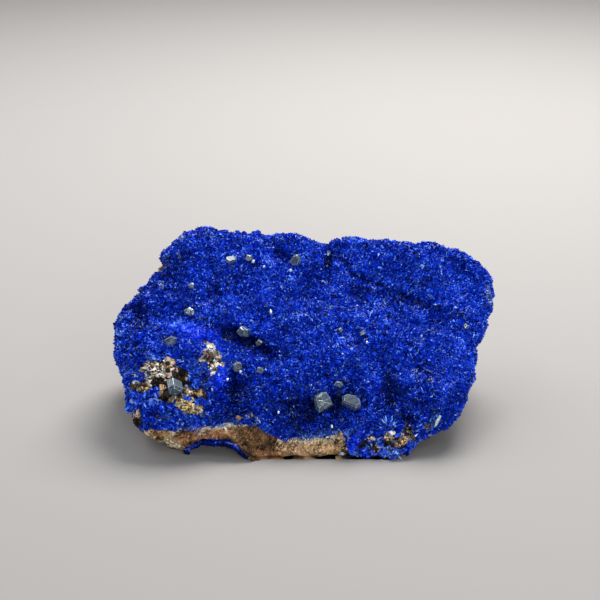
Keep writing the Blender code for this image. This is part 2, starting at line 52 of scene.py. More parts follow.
# The leaning frame: u runs along +X, v climbs a plane that leans back, w stands out of it.
LEAN = math.radians(25.0)
FRAME_ZERO = np.array((-0.8, -1.6, 25.2))
MIDDLE = np.array((0.38, -0.26, 0.0))
ACROSS = np.array((1.0, 0.0, 0.0))
CLIMB = np.array((0.0, math.sin(LEAN), math.cos(LEAN)))
OUT = np.array((0.0, -math.cos(LEAN), math.sin(LEAN)))
FACE_SLOPE = 0.577
FACE_LEVEL = -9.2

# Outline of the specimen in (u, v), clockwise from the peak at the upper left.
OUTLINE = [
    (-22.4, 15.5), (-17, 15), (-12.9, 14.6), (-9.6, 14.2), (-5, 15.1), (0.6, 15), (4.4, 12.2), (8.2, 14.5),
    (12, 13.9), (18.6, 13.1), (24.4, 12.7), (30.4, 12.2), (34.4, 10.4), (38.8, 8), (41.4, 5.4), (42.5, 0.4),
    (41.8, -2.6), (38.9, -7.2), (36.3, -11.4), (36, -15.2), (34.8, -18.8), (33.4, -22.7), (30.3, -25.6),
    (26.4, -27.6), (21.4, -31), (16.2, -34.6), (2.4, -36.6), (-10.8, -36), (-17, -34.8), (-23.6, -32.6),
    (-26.4, -29.6), (-31.2, -26.8), (-33.4, -24.2), (-35.6, -19.8), (-37.6, -14.9), (-39.6, -10.8),
    (-39.8, -6.4), (-39.2, -1.6), (-35.9, 0.6), (-33.1, 2.5), (-32.9, 5.2), (-31.6, 7.6), (-30.3, 12.4),
    (-27.6, 15.5),
]
DRAWN_FRONT = 24.0
DRAWN_BACK = -60.0
BACK_TAPER = 0.86
ON_PLANE = 0.001
SAME_POINT = 0.002

# Planes that shape the block: a point of each and the direction that is cut away.
CUTS = [
    ("underside", (0, 0, -1.3), (0, 0, -1)),
    ("front wall", (0, -23.4, 3), (0, -0.998, 0.06)),
    ("left front corner", (-24.8, -20.2, 2), (-0.36, -0.90, -0.25)),
    ("right front corner", (24.5, -21.8, 5), (0.36, -0.91, -0.20)),
    ("back wall", (0, 20.65, 16), (0.05, 0.985, 0.12)),
    ("back of the rim", (0, 20.3, 32.25), (0, 0.64, 0.77)),
    ("back left corner", (-31, 15.5, 15), (-0.66, 0.75, 0.06)),
    ("back right corner", (33, 15.5, 12), (0.66, 0.72, -0.20)),
    ("underside, right end", (14.5, 0, 0), (0.27, 0.05, -0.96)),
    ("underside, left end", (-25, 0, 0), (-0.42, 0.08, -0.90)),
    ("underside, back", (0, 16.5, 0), (-0.10, 0.45, -0.89)),
]

# A dent in the upper rim: u, half width, depth, and the heights v over which it sets in.
NOTCH = (4.4, 1.4, 0.6, 9.0, 13.0)

# Lumps and hollows of the face: u, v, half length, half width, turn in degrees, height.
LUMPS = [
    ("lower left knob", -25.5, -17.5, 10.5, 8.5, -10, 4.8),
    ("left lobe", -35, -6.5, 4, 6, 15, 1.4),
    ("upper left shoulder", -24, 6, 7, 5, 35, 0.8),
    ("ridge left of the notch", -5, 12.5, 5.5, 2.2, -20, 0.7),
    ("bright ridge at the notch", 3.6, 8.6, 1.8, 4.6, -10, 1.2),
    ("middle swell", 14, -8, 12, 6, -12, 1.1),
    ("right terrace bump", 32.3, -4.8, 4, 2.6, 10, 0.9),
    ("lower right bump", 29.5, -18.8, 3.5, 4.5, 0, 1),
    ("lower lip", 9.5, -26.5, 4, 2.2, 35, 0.9),
    ("left crease", -33.9, -3.2, 1.5, 3.4, 25, -1.8),
    ("hollow below the shoulder", -18.4, 2.6, 2, 4.6, 10, -1.2),
    ("hollow right of the knob", -13.4, -17.8, 2.6, 6.5, -8, -3.3),
    ("hollow below the crevice", -5, -12, 3.6, 2.6, -30, -1),
    ("lower right hollow", 19.5, -16.5, 3.4, 5, 20, -1.1),
    ("right hollow", 26.5, -13.5, 2.6, 4.6, 30, -0.9),
    ("upper right hollow", 34.6, 4.6, 2.4, 5, 15, -0.7),
    ("hollow at the big crystals", 5.6, -21.6, 6.5, 2.2, 0, -1.2),
]

# Small pits and bumps of the face: u, v, radius, height.
PITS = [
    (-17.4, 4.9, 1.7, -1), (-18.3, 0.2, 1.5, -0.8), (-5.1, -10.6, 1.1, -1), (-4.1, -13.5, 1.3, -0.7),
    (-14.6, -18.4, 1.5, -0.8), (5.6, 6.2, 1, -0.8), (18.5, -14.7, 1.7, -1), (18.3, -20.2, 1.3, -1.2),
    (25.3, -14.2, 2.2, -1), (21.6, -23.6, 1.6, -1), (30.2, -6.5, 1.6, -0.9), (36, 5.3, 1.7, -0.9),
    (32.2, -4.4, 1.7, 0.7), (29.6, -18.6, 1.6, 0.7), (-7.4, -8.8, 1.5, 0.9), (2.2, -20.8, 1.2, -1),
    (7.6, -20.7, 1.3, -0.9), (-13.9, -6.9, 1.1, -1.2), (-33.6, -2.8, 1.2, -0.9), (10.6, -22.9, 3, 0.4),
]

# Grooves of the face: u, v of both ends, half width, height.
GROOVES = [
    ("groove in the upper middle", (-6.4, 12.4), (-1.6, 7.2), 1.2, -1.9),
    ("groove right of the notch", (5.6, 12), (5.8, 4.6), 1.1, -2.2),
    ("crevice", (-14.6, -6.4), (-6.8, -10.2), 1.4, -2.6), ("left crease", (-30, -4), (-19, -5.4), 1.6, -1.3),
    ("upper furrow", (7.3, 9.9), (11.8, 5.2), 0.9, -1.5), ("upper furrow", (11.8, 5.2), (19.4, 2.1), 0.8, -1),
    ("upper furrow", (19.4, 2.1), (27.5, -1.9), 0.9, -1.4),
    ("lower furrow", (9.7, 1.7), (14.5, -1), 0.8, -1.1),
]

# The bent line that parts the steep upper right scarp from the terrace below it.
CREASE = [(4.8, 12), (8.4, 6.3), (20.8, 0.2), (32.5, -1.6), (42, -0.6)]
CREASE_DEPTH = 3.0
CREASE_ABOVE = 12.0
CREASE_BELOW = 17.0
CREASE_SETS_IN = (4.0, 14.0)

# Below this height v the face rolls over towards its foot, by this much a square millimetre.
ROLL_OVER = (-15.0, 0.010)

# Lower edge of the blue crust in (u, v); the rock is bare below it.
CRUST_EDGE = [
    (-45, -21), (-36, -22), (-31, -25.3), (-24.3, -25.4), (-17.9, -25.2), (-15.1, -24.4), (-8.8, -24.9),
    (-6, -26.6), (-3.5, -27.6), (2, -27.4), (6.5, -27), (8.6, -26.2), (9.6, -28.6), (10.4, -36), (45, -36),
]
RIM_WRAP = 4.5
RIGHT_WRAP = 7.5
LEFT_WRAP = 1.2

# Places where the rock or its broken bits show in the crust: u, v, half length, half width, turn,
# and how ragged they are.
BARE = [
    ("knob window", -25.4, -16.2, 5.4, 4, -8, 1.4), ("lower right break", 17.4, -28.6, 6.6, 0.7, 12, 1.6),
    ("granular patch", -29.3, -14.3, 2.7, 2.2, 0, 0.8), ("orange lump", -26.5, -12.7, 1.3, 1, 0, 0.8),
    ("ridge", -25.8, -14.4, 1.9, 1, 25, 0.8), ("cavity", -23.6, -16, 2.8, 2.5, 0, 0.8),
    ("crystal's seat", -24.9, -18, 2, 2, 0, 0.8), ("tan lumps", -21.6, -18.4, 2.3, 1.4, 0, 0.8),
    ("left hole", -26.2, -19.6, 1.3, 1.3, 0, 0.8), ("ochre bar", -22.1, -21.2, 3.3, 1.3, -18, 0.8),
    ("cream patch", -31.4, -17.6, 2.3, 1.1, -15, 0.8), ("small patch", -28.4, -23, 0.9, 0.6, 0, 0.8),
    ("corner", -32.6, -23.6, 1.5, 2.4, -30, 0.8), ("chip", -17.8, -12.1, 2, 3.2, 30, 0.8),
    ("pink edge", 13.3, -27.8, 1.7, 0.5, 25, 0.8), ("dark under the lip", 11.6, -29.2, 2.2, 0.6, 40, 0.8),
    ("black gap", 17, -28.6, 1.3, 0.9, 0, 0.8), ("tan bit", 15.4, -29.2, 0.6, 0.7, 0, 0.8),
    ("tan triangle", 17.6, -27.1, 0.8, 0.9, 0, 0.8), ("green black", 21.2, -26, 1.6, 1, 20, 0.8),
    ("orange bits", 20.4, -28.2, 1.4, 0.8, 30, 0.8), ("black foot", 15.2, -31, 1.6, 0.8, 0, 0.8),
    ("brown knob", 25.1, -25.2, 0.7, 0.6, 0, 0.4), ("brown speck", -9.4, -23.4, 0.5, 0.5, 0, 0.8),
    ("brown speck", -12, -23.6, 0.7, 0.4, 0, 0.8), ("left edge", -29.6, 6.6, 0.9, 1.5, -35, 0.8),
]

# Lumps and holes of the bare places: u, v, half length, half width, turn, height.
BARE_FORMS = [
    ("granular patch", -29.3, -14.3, 2.4, 2, 0, 0.8), ("orange lump", -26.5, -12.7, 1.2, 0.9, 0, 1.3),
    ("ridge", -25.8, -14.4, 1.8, 0.7, 25, 1.3), ("cavity", -23.3, -16.2, 1.9, 1.9, 0, -2.6),
    ("left hole", -26.3, -19.6, 1.1, 1.2, 0, -2.4), ("right hole", -20.6, -19.4, 1.1, 1, 0, -2.2),
    ("tan lump", -22.5, -18.3, 0.9, 1.1, 0, 1.2), ("tan lump", -20, -17.8, 0.8, 0.9, 0, 1.2),
    ("ochre bar", -22.2, -21, 3, 0.9, -18, 1.6), ("cream patch", -31.8, -17.4, 2, 0.9, -15, 0.9),
    ("dark between", -28.6, -17, 1.4, 0.7, -30, -1.2), ("chip", -17.8, -12.2, 1.2, 2.7, 30, 0.8),
    ("black gap", 17, -28.6, 1.2, 0.8, 0, -1.4), ("dark under the lip", 11.8, -29.3, 2.4, 0.7, 40, -1.4),
    ("tan triangle", 17.6, -27, 0.8, 0.8, 0, 0.9), ("green black", 21.2, -26, 1.5, 0.9, 20, -0.9),
    ("brown knob", 25.1, -25.2, 0.9, 0.8, 0, 1.1), ("blue lump", 12.7, -30.1, 1.5, 1.2, 0, 1),
    ("white lumps", 17.7, -30.2, 2, 1.1, 0, 0.8), ("orange bits", 20.4, -28.2, 1.3, 0.8, 30, 0.7),
]

# Zones of broken bits: u, v, half length, half width, turn.
BROKEN = [
    ("knob window", -26, -16.6, 7, 5.2, -8), ("lower right", 17.5, -28.4, 9, 3.4, 12),
    ("lower left corner", -32.2, -23.4, 2.6, 2.6, 0), ("chip", -17.8, -12.2, 1.6, 3, 30),
    ("below the window", -26, -21.8, 7.6, 3, -6), ("left of the window", -33, -12, 2.4, 5, 0),
]

# Colours of the stains, linear. Navy, and black in holes and gaps, also serve as painted shade, and ice also
# as painted glints.
COLOURS = {
    "white": (0.95, 0.95, 0.93), "cream": (0.95, 0.86, 0.64), "ochre": (0.92, 0.72, 0.32),
    "orange": (0.86, 0.55, 0.27), "pink": (0.88, 0.68, 0.56), "tan": (0.86, 0.64, 0.40),
    "sand": (0.84, 0.58, 0.34), "toffee": (0.25, 0.135, 0.06),
    "golden": (0.74, 0.50, 0.24), "rust": (0.50, 0.26, 0.13), "brown": (0.17, 0.095, 0.050),
    "grey": (0.82, 0.78, 0.70), "olive": (0.070, 0.070, 0.035), "black": (0.014, 0.011, 0.012),
    "powder blue": (0.34, 0.56, 0.96), "ice": (0.80, 0.90, 1.0), "steel blue": (0.045, 0.120, 0.42),
    "light blue": (0.055, 0.20, 0.85), "bright blue": (0.008, 0.045, 0.90),
    "grey blue": (0.14, 0.24, 0.46), "navy": (0.006, 0.020, 0.11), "umber": (0.040, 0.028, 0.026),
}

# Stains of the rock: u, v, half length, half width, turn in degrees, colour. The black in the cavity, the
# holes, the black gap, the hollow under the lip and along the edge of the arch is painted shade in those
# hollows and gaps.
ROCK_STAINS = [
    ("ground of the window", -26, -16.8, 8, 6.4, -8, "umber"),
    ("lower left corner", -31.4, -24.4, 3.2, 3.2, 0, "brown"),
    ("ground of the lower right", 17.5, -28.6, 8.6, 3.2, 12, "umber"),
    ("band, left", -21, -26.6, 7, 2.2, 0, "rust"), ("band, far left", -29, -27.2, 3.4, 1.6, -10, "golden"),
    ("band, left end", -26, -28.6, 2.4, 1, -8, "cream"),
    ("corner's facets", -33.4, -22, 1.2, 0.8, -40, "pink"),
    ("corner's facets", -31, -26.2, 1.4, 0.6, -20, "tan"),
    ("band, middle", -8.4, -28.2, 4.5, 3.4, -20, "toffee"), ("band, foot", -5, -31, 4, 1.4, -8, "rust"),
    ("band, right", 2.6, -29.6, 5, 2.5, 0, "sand"), ("band, right end", 7, -30.8, 2, 1.3, 0, "golden"),
    ("band, upper right", 9.4, -26.6, 3.2, 1.2, 15, "tan"), ("broken rim", -15.2, -24.9, 6, 0.5, 3, "white"),
    ("broken rim", 2, -27.6, 7, 0.6, 3, "cream"), ("granular patch", -29.4, -14.4, 2.8, 2.4, 0, "grey"),
    ("speckled part", -28.2, -16.4, 1.5, 1, 0, "black"), ("granular top", -29, -12.7, 1.4, 0.7, 0, "cream"),
    ("orange lump", -26.5, -12.7, 1.3, 0.9, 0, "orange"), ("ridge", -25.6, -14.5, 1.8, 0.8, 25, "pink"),
    ("cavity", -23.2, -16.1, 2.3, 2.6, 0, "black"), ("grey specks", -22.3, -15.9, 0.6, 0.6, 0, "grey"),
    ("left hole", -26.3, -19.6, 1.2, 1.3, 0, "black"), ("right hole", -20.6, -19.3, 1.3, 1.1, 0, "black"),
    ("tan lump", -22.4, -18.4, 1.1, 1.1, 0, "tan"), ("tan lump", -20, -17.8, 0.9, 0.9, 0, "orange"),
    ("grey bit", -18.7, -18.2, 0.6, 0.5, 0, "grey"), ("ochre bar", -22.3, -21, 3, 1.2, -18, "ochre"),
    ("bar's end", -19.2, -22.4, 0.9, 0.8, 0, "white"),
    ("bar's foot", -23.4, -22.3, 0.9, 0.5, 0, "powder blue"),
    ("cream patch", -32.6, -17.2, 1.4, 0.9, -15, "cream"),
    ("yellow patch", -30.4, -17.7, 1.5, 0.7, -15, "ochre"), ("small patch", -28.4, -23, 0.9, 0.6, 0, "cream"),
    ("corner, upper", -32.7, -22.3, 1, 0.9, 0, "pink"), ("corner, lower", -31.8, -24.6, 1.4, 1.4, 0, "black"),
    ("chip, rim", -17.8, -12.1, 2.4, 3.6, 30, "white"), ("chip, middle", -18.2, -11.9, 1.1, 1.5, 30, "brown"),
    ("chip, foot", -16.7, -13.5, 1.3, 1.6, 20, "cream"), ("pink edge", 13.3, -27.8, 1.8, 0.7, 25, "pink"),
    ("dark under the lip", 11.6, -29.3, 2.4, 0.9, 40, "black"), ("black gap", 17, -28.6, 1.4, 1, 0, "black"),
    ("tan bit", 15.4, -29.2, 0.6, 0.6, 0, "tan"), ("tan triangle", 17.6, -27.1, 0.8, 0.8, 0, "tan"),
    ("green black", 21.2, -26, 1.7, 1.1, 20, "olive"), ("orange bits", 20.4, -28.2, 1.4, 0.8, 30, "orange"),
    ("black foot", 15.2, -31.2, 1.8, 1, 0, "black"), ("brown knob", 25.1, -25.2, 1, 0.9, 0, "brown"),
    ("left edge", -36, -12, 3, 9, 14, "brown"), ("brown speck", -9.4, -23.4, 0.6, 0.6, 0, "pink"),
    ("brown speck", -12, -23.6, 0.8, 0.5, 0, "orange"), ("band, lumps", -3.4, -28.8, 1.2, 0.8, 20, "sand"),
    ("band, lumps", -0.6, -31.4, 1.4, 0.7, 0, "toffee"), ("band, pale bits", -25, -26, 1.2, 0.7, 0, "cream"),
    ("band, pale bits", -19.6, -26.2, 0.9, 0.5, 0, "pink"),
    ("edge of the arch", -16.6, -31.9, 7, 4.2, 0, "black"),
]

# Paler and brighter places of the azurite: u, v, half length, half width, turn, colour. The bright blue of
# the knob's rim and top and of the lip is partly their own colour and partly painted light on their lit
# sides.
CRUST_STAINS = [
    ("bright bits over the band", -13.6, -24.3, 1.8, 0.4, 5, "ice"),
    ("bright bit", -10.4, -23, 0.5, 0.4, 0, "ice"), ("bright bit", -8.4, -23.9, 0.4, 0.7, 0, "ice"),
    ("bright bit", -19, -22.4, 0.6, 0.5, 0, "ice"), ("pale bits", -29.2, -19.6, 0.7, 0.6, 0, "powder blue"),
    ("pale bits", -31.6, -22, 0.6, 0.8, 0, "powder blue"),
    ("pale bits", -26.4, -22.8, 0.9, 0.5, 30, "powder blue"),
    ("pale bits", -18.6, -16.6, 0.6, 0.9, 0, "powder blue"),
    ("pale bits", -30.8, -10.6, 0.7, 0.5, 0, "powder blue"),
    ("pale bits", -33, -15, 0.5, 0.8, 0, "powder blue"),
    ("rim over the arch", -16, -24.9, 7.5, 0.45, 3, "white"),
    ("rim over the band", 3.5, -27.1, 7, 0.45, 5, "cream"),
    ("bright rim of the knob", -16.4, -14.2, 1.3, 5.6, 6, "bright blue"),
    ("bright top of the knob", -20.6, -7, 4.4, 1.5, -12, "bright blue"),
    ("dull inside of the knob", -20.2, -14.4, 1.6, 3.6, 20, "steel blue"),
    ("fringe", 6, -26.3, 5.6, 0.6, 5, "powder blue"), ("fringe, left", -13, -25, 5, 0.7, 0, "powder blue"),
    ("patch by the fringe", -7.6, -25.6, 1.5, 1.2, 0, "light blue"),
    ("lip", 10.9, -27.6, 1.2, 3, -35, "bright blue"),
    ("lip's edge", 11.6, -30.2, 1.8, 0.5, 40, "powder blue"),
    ("blue lump", 12.8, -30, 1.2, 1, 0, "bright blue"),
    ("radiating blades", 16.6, -24.2, 1.3, 1, 0, "light blue"),
    ("white lumps", 17.9, -30.2, 1.7, 1, 0, "powder blue"),
    ("rim of the gap", 14.4, -28.6, 1.7, 0.4, 30, "powder blue"),
    ("upper left edge", -25.3, 13.4, 0.8, 0.5, 35, "ice"), ("left edge", -28.9, 2.9, 0.6, 0.8, 0, "ice"),
    ("left edge", -37.4, -3.8, 1, 0.5, 0, "powder blue"),
    ("left edge", -36.9, -6.7, 1.3, 0.5, 0, "powder blue"), ("notch", 4.3, 12.4, 1.8, 0.8, 0, "light blue"),
    ("upper edge", 10.5, 13.3, 1.3, 0.5, 0, "powder blue"), ("right edge", 39.8, 1, 0.6, 1.9, 8, "ice"),
    ("bump by the crevice", -7.7, -8.4, 1.1, 0.9, 0, "light blue"),
    ("foot of the bar", -21.4, -23.2, 2.6, 0.7, -15, "light blue"),
    ("left of the patch", -33.6, -17.6, 0.8, 1, 0, "powder blue"),
    ("lower left", -31, -20.6, 1.4, 1, 30, "light blue"),
    ("by the white crystal", 26.4, -24, 0.7, 2, -30, "powder blue"),
    ("top of the patch", -30, -11.6, 1, 0.8, 30, "powder blue"),
    ("right foot", 23.4, -28.2, 1.5, 0.6, 30, "light blue"),
]

# Painted light and shade on the azurite: u, v, half length, half width, turn, change of tone. Darker tones
# paint shade in the furrows, grooves, crease, crevice, pits and hollows, on the steep lower face and beside
# the crystals; lighter ones paint light on the knob's rim and top, the scarp, the terrace, the lip and the
# edges of the arch's lining.
CRUST_LIGHT_AND_SHADE = [
    ("upper furrow", 9.5, 7.5, 3.4, 0.6, -46, -0.35), ("upper furrow", 15.6, 3.7, 4, 0.5, -22, -0.25),
    ("upper furrow", 23.5, 0.1, 4.4, 0.6, -26, -0.40), ("lower furrow", 12.1, 0.4, 2.8, 0.5, -29, -0.30),
    ("left foot of the arch", -21.6, -28.9, 1.1, 0.5, 25, 0.40),
    ("crown of the arch", -16.8, -27.8, 1.4, 0.25, 0, 0.20),
    ("right end of the arch", -12.6, -28.6, 1.2, 0.35, -32, 0.40), ("lower face", 2, -22, 34, 6, 0, -0.14),
    ("valley by the knob", -13.4, -18.4, 2.6, 6, -8, -0.30), ("scarp", 22, 6.5, 16, 5, -8, 0.03),
    ("crease", 20, 0.2, 14, 1.2, -14, -0.14), ("terrace", 30, -5, 8, 4, 0, 0.07),
    ("crevice", -10.4, -8.6, 4.4, 1.2, -25, -0.80),
    ("left of the striped crystal", -14.8, -7.2, 1.6, 1.3, 0, -0.80),
    ("black pit", 0.6, -22.4, 2.4, 2, 10, -0.80), ("black pit", 7.4, -21, 1.3, 2.2, -20, -0.80),
    ("black pit", 12.6, -20.2, 0.8, 1.4, 30, -0.30), ("rim of the knob", -16, -13, 1.6, 6, 6, 0.26),
    ("top of the knob", -21, -6.6, 5, 1.6, -12, 0.16), ("groove", -4.2, 9.8, 3.2, 0.8, -45, -0.42),
    ("groove", 5.8, 8, 0.8, 3.4, 0, -0.42), ("upper left", -27, 6, 4, 5, 0, -0.10),
    ("left hollow", -33.6, -3.2, 1.3, 2.6, 20, -0.36),
    ("below the shoulder", -18.2, 2.8, 1.5, 3.4, 10, -0.18), ("dark pit", -5, -11.2, 1.6, 1, 0, -0.20),
    ("lower right", 18.5, -17.5, 1.8, 4.4, 15, -0.20), ("right hollow", 25.5, -14.3, 2.2, 1.4, 0, -0.24),
    ("dark pit", 18.2, -20.2, 1.1, 0.9, 0, -0.40), ("dark pit", 21.6, -23.4, 1.4, 0.8, 0, -0.35),
    ("lip", 11, -28, 0.9, 2.6, -35, 0.18), ("left of the window", -32.4, -13.2, 1.6, 1.6, 0, -0.25),
]

# The arch under the front foot, which falls back towards the left by ARCH_SLANT.
ARCH_X = -17.6
ARCH_FRONT = -20.9
ARCH_BACK = -9.0
ARCH_HALF_WIDTH = 5.4
ARCH_SLANT = 0.17
ARCH_HEIGHT = 2.7
ARCH_CRUST = 0.85
ARCH_SWELL = 0.22
ARCH_WAVES = 1.7
ARCH_WAVE_LENGTH = 5.0
ARCH_GAP = 0.75
ARCH_GAP_REACH = 6.0
ARCH_BEFORE = 8.0
ARCH_BELOW = -3.0
ARCH_RINGS = 12
ARCH_RING_STEPS = 24
LINING_FRONT = -21.1
LINING_STEPS = 56
LINING_LENGTHS = 40
LINING_ROUGH_BACK = 0.3
LINING_ROUGH_END = 1.6

# Sizes of the fine surface.
FINE = 0.43
ROUNDING = 150
LAST_ROUNDING = 2
ROUNDING_LOSS = 1.6
CRUST_HEIGHT = 1.85
CRUST_THICKNESS = 1.25
CRUST_SUNK = 0.40
THIN_FOOT = 0.75
THIN_FOOT_U = (8.0, 11.0)
THIN_FOOT_V = (-24.0, -27.5)
CRUST_ROUNDING = 0.7
CRUST_BRIM = 0.04
DRUSE_SETS_IN = (0.0, 1.5)
LOWEST = 0.02

# Bumps: a seed, and octaves of a size and a height.
ROCK_BUMPS = (7.0, [(11.0, 2.2), (4.8, 0.7), (2.1, 0.34), (1.1, 0.18)])
SUGARY_BUMPS = (13.0, [(1.3, 0.30), (0.6, 0.16)])
CRUST_BUMPS = (3.0, [(7.0, 0.8), (3.2, 0.62)])
DRUSE_BUMPS = (5.0, [(2.3, 0.46), (1.15, 0.28)])
LINING_BUMPS = (81.0, [(1.6, 0.30), (0.7, 0.12)])
RAGGED = (21.0, [(2.6, 0.75), (0.9, 0.55)])
CRUMBLED = (23.0, [(1.7, 0.8), (0.8, 0.5)])
ROCK_STAIN_EDGES = (63.0, [(0.9, 0.32), (0.45, 0.16)])
BLUE_STAIN_EDGES = (61.0, [(0.9, 0.32), (0.45, 0.16)])

# Smooth noise: the size of its bumps and a seed.
BED_WAVES = (10.0, 0.0)
LEDGE_PATCHES = (13.0, 9.0)
FOOT_WAVES = (2.2, 17.0)
DRUSE_PATCHES = (4.0, 31.0)
FINE_TONES = (1.6, 41.0)
BROAD_TONES = (5.0, 43.0)
ROCK_TONES = (1.3, 53.0)
SPECK_PATCHES = (6.5, 71.0)

# The rock's ledges follow beds that dip to the right and wave. The fade over the rock is a middle share and
# its change, kept between a least and a most.
LEDGE_RISE = 5.5
LEDGE_DEPTH = 1.3
LEDGE_STEP = (0.25, 0.60)
LEDGE_FADE = (0.55, 0.9, 0.1, 1.2)
BED_TILT = 0.22
BED_WAVE_HEIGHT = 3.4

# Chips of the rock, and the dents and the tuck of its flat foot.
CHIP_SIZE = 4.2
CHIP_SLOPE = 0.60
CHIP_CHANGE = 7.3
CHIP_SEED = 4
FOOT_DENT = 0.35
FOOT_TUCK = 1.6
FOOT_HEIGHT = (0.35, 0.0)
FOOT_TURN = (-0.8, -0.95)

# Where the face's relief, the rock's relief and the forms of the bare places set in, by how far the
# outside turns to the front, and how deep into a bare place they do.
FACE_TURN = (0.15, 0.75)
ROCK_TURN = (0.45, -0.35)
FRONT_TURN = (-0.2, 0.3)
BARE_DEPTH = (0.2, -0.6)

# Where the crust ends: depths behind the face, the raggedness of its edges, the sides that it wraps round,
# and how far the windows reach in; and the soft edges of the stains and of the broken zones.
FACE_DEPTH = (8.0, 6.0)
WINDOW_DEPTH = 7.0
FAR_INSIDE = 99.0
EDGE_RAGGED = 0.7
WRAP_RAGGED = 1.5
RIGHT_SIDE = 30.0
LEFT_SIDE = -33.0
FRONT_FACING = 0.45
CRUST_FOOT = 0.5
DEEPEST_WINDOW = 1.2
STAIN_EDGE = (1.2, 0.85)
BROKEN_EDGE = (1.2, 0.8)

# Seed of all random draws.
DRAW_SEED = 7

# The druse: small pointed crystals, wedges, chisel-ended prisms and pale needles, whose paleness is partly a
# painted highlight along them. Each kind has its share, its length, width and height over the crystal size,
# how far it leans, and what it adds to the tone.
CRYSTALS = 104000
CRYSTAL_SHARES = (0.45, 0.36, 0.07, 0.12)
CRYSTAL_FORMS = np.array([(0.95, 0.9, 1.0), (1.05, 0.95, 1.0), (1.1, 1.0, 1.1), (0.50, 0.55, 1.5)])
CRYSTAL_TILT = np.array([0.55, 0.55, 0.6, 1.1])
CRYSTAL_TONE_AND_HIGHLIGHT = np.array([-0.03, -0.03, 0.0, 0.30])
# Their size, how much it varies, and the ranges of what each one's length, width and height are scaled by.
CRYSTAL_SIZE = 0.36
CRYSTAL_SIZE_SPREAD = 0.26
CRYSTAL_SPREADS = ((0.7, 1.3), (0.35, 0.75), (0.9, 1.6))
CRYSTAL_SUNK = 0.42
# Each face's own change of tone also paints reflections inside the crystals.
CRYSTAL_FACE_TONES_AND_REFLECTIONS = 0.15
PATCHY_SIZE = 0.22
BROKEN_SIZE = 0.6
DRUSE_PIECES = 4

# Specks of azurite in patches on the bare rock of the sides and the back, above its foot.
SPECKS = 2000
SPECK_SHARE = (0.22, 0.45)
SPECK_BARE = -0.3
SPECK_FOOT = 0.6

# Tones of the crystals from 0 to 1: the middle one of each place, and how much each thing adds. The lining's
# low middle tones paint the shade of the arch it lies in, and the broad changes paint light and shade.
DRUSE_LEVEL = 0.42
SHELL_LEVEL = 0.22
SHADED_LINING_SHELL_LEVEL = 0.12
SHADED_LINING_LEVEL = 0.06
TONE_SPREAD = 0.19
FINE_TONE = 0.12
BROAD_TONE = 0.13
LIGHT_AND_SHADE_STRENGTH = 1.25

# Tone of the rock between the grains: the middle one, its change, and how much darker it is where broken,
# which is painted shade in the gaps between the grains.
ROCK_LEVELS = (0.4, 0.3, 0.30)

# Pale crystals, partly pale of their own and partly painted sparkle, the ice coloured ones painted glints:
# their share, more of it low on the face and in the broken zones, how many of them are ice coloured and how
# strong their colour is, beside the strength of the stains.
PAINTED_SPARKLE_AND_PALE = 0.016
PAINTED_SPARKLE_AND_PALE_LOW = (-12.0, -22.0)
PAINTED_SPARKLE_AND_PALE_LOWER = 2.0
PAINTED_SPARKLE_AND_PALE_BROKEN = 0.12
UNSTAINED = 0.2
ICE_GLINT_SHARE = 0.35
PAINTED_SPARKLE_AND_PALE_STRENGTH = (0.3, 1.0)
STAIN_STRENGTH = (0.15, 0.95)

# Grains on the bare rock: most are on its front, none under its foot, and they are mixed where it is broken.
GRAINS = 19500
GRAIN_SIZE = 0.34
GRAIN_SIZE_SPREAD = 0.32
GRAIN_SPREAD = (0.6, 1.4)
GRAIN_COVER = 0.4
GRAIN_FACING = 0.15
GRAIN_UNDER = -0.9
GRAIN_WEIGHTS = (100.0, 0.0, 1.5)
GRAIN_FOOT = 0.5
GRAINS_BROKEN = 1.2
FRAGMENT_SHARES = (0.15, 0.15)
FRAGMENT_SIZE = 1.25
GRAIN_STRENGTH = (0.75, 1.0)
GRAIN_TONES = (0.45, 0.55, 0.38)
GRAIN_CONTRAST = 0.7
GRAIN_FACE_TONES = 0.12
# Grains stained darker than this are the black of the holes, painted shade, and keep it.
SHADED_HOLE_COLOUR = 0.03
MIXED_SHARE = 0.30
MIXED_GRAINS = ("white", "cream", "black", "black", "orange", "powder blue", "light blue", "grey")

# Grey crystals, in the order of their nodes: length, width, height, turn and tilt in degrees, sides.
GREY_CRYSTALS = [
    (4.1, 4.4, 3, 0, -6, 6), (4.2, 2.6, 2.4, -24, -26, 6), (3, 2.8, 2.6, 40, -14, 5),
    (2.4, 2.7, 2.3, 5, 12, 6), (2.8, 1.9, 1.8, 25, 12, 6), (2, 1.5, 1.7, -20, 12, 5),
    (1.6, 1.5, 1.7, 15, 12, 5), (2.1, 2, 1.9, -15, 12, 6), (2.2, 2, 1.9, 30, 12, 6),
    (2, 1.6, 1.7, -10, 12, 5), (3.5, 2.3, 2, 18, 4, 5), (3.3, 3, 3, 20, 12, 6), (1.5, 1.2, 1.6, 35, 12, 5),
    (1.3, 1.2, 1.6, 0, 12, 5), (1.3, 1.3, 1.6, 20, 12, 5), (1.9, 1.3, 1.6, -15, 12, 5),
    (1.4, 1.3, 1.6, 10, 12, 5), (1.6, 1.3, 1.7, 25, 10, 5),
]
# Outlines of the two big ones, in millimetres from the seat; the others' are drawn at random.
BIG_OUTLINES = {
    1: [(-1.9, 0.2), (-1.1, -1.6), (-0.2, -2.3), (0.8, -1.3), (2.1, -0.2), (1.3, 1.1), (0.4, 2.1),
        (-0.6, 2.0), (-1.8, 1.1)],
    2: [(-2.2, 0.0), (-1.6, -1.0), (1.4, -1.1), (2.2, -0.3), (1.5, 0.9), (0.2, 1.2), (-1.5, 1.0)],
}

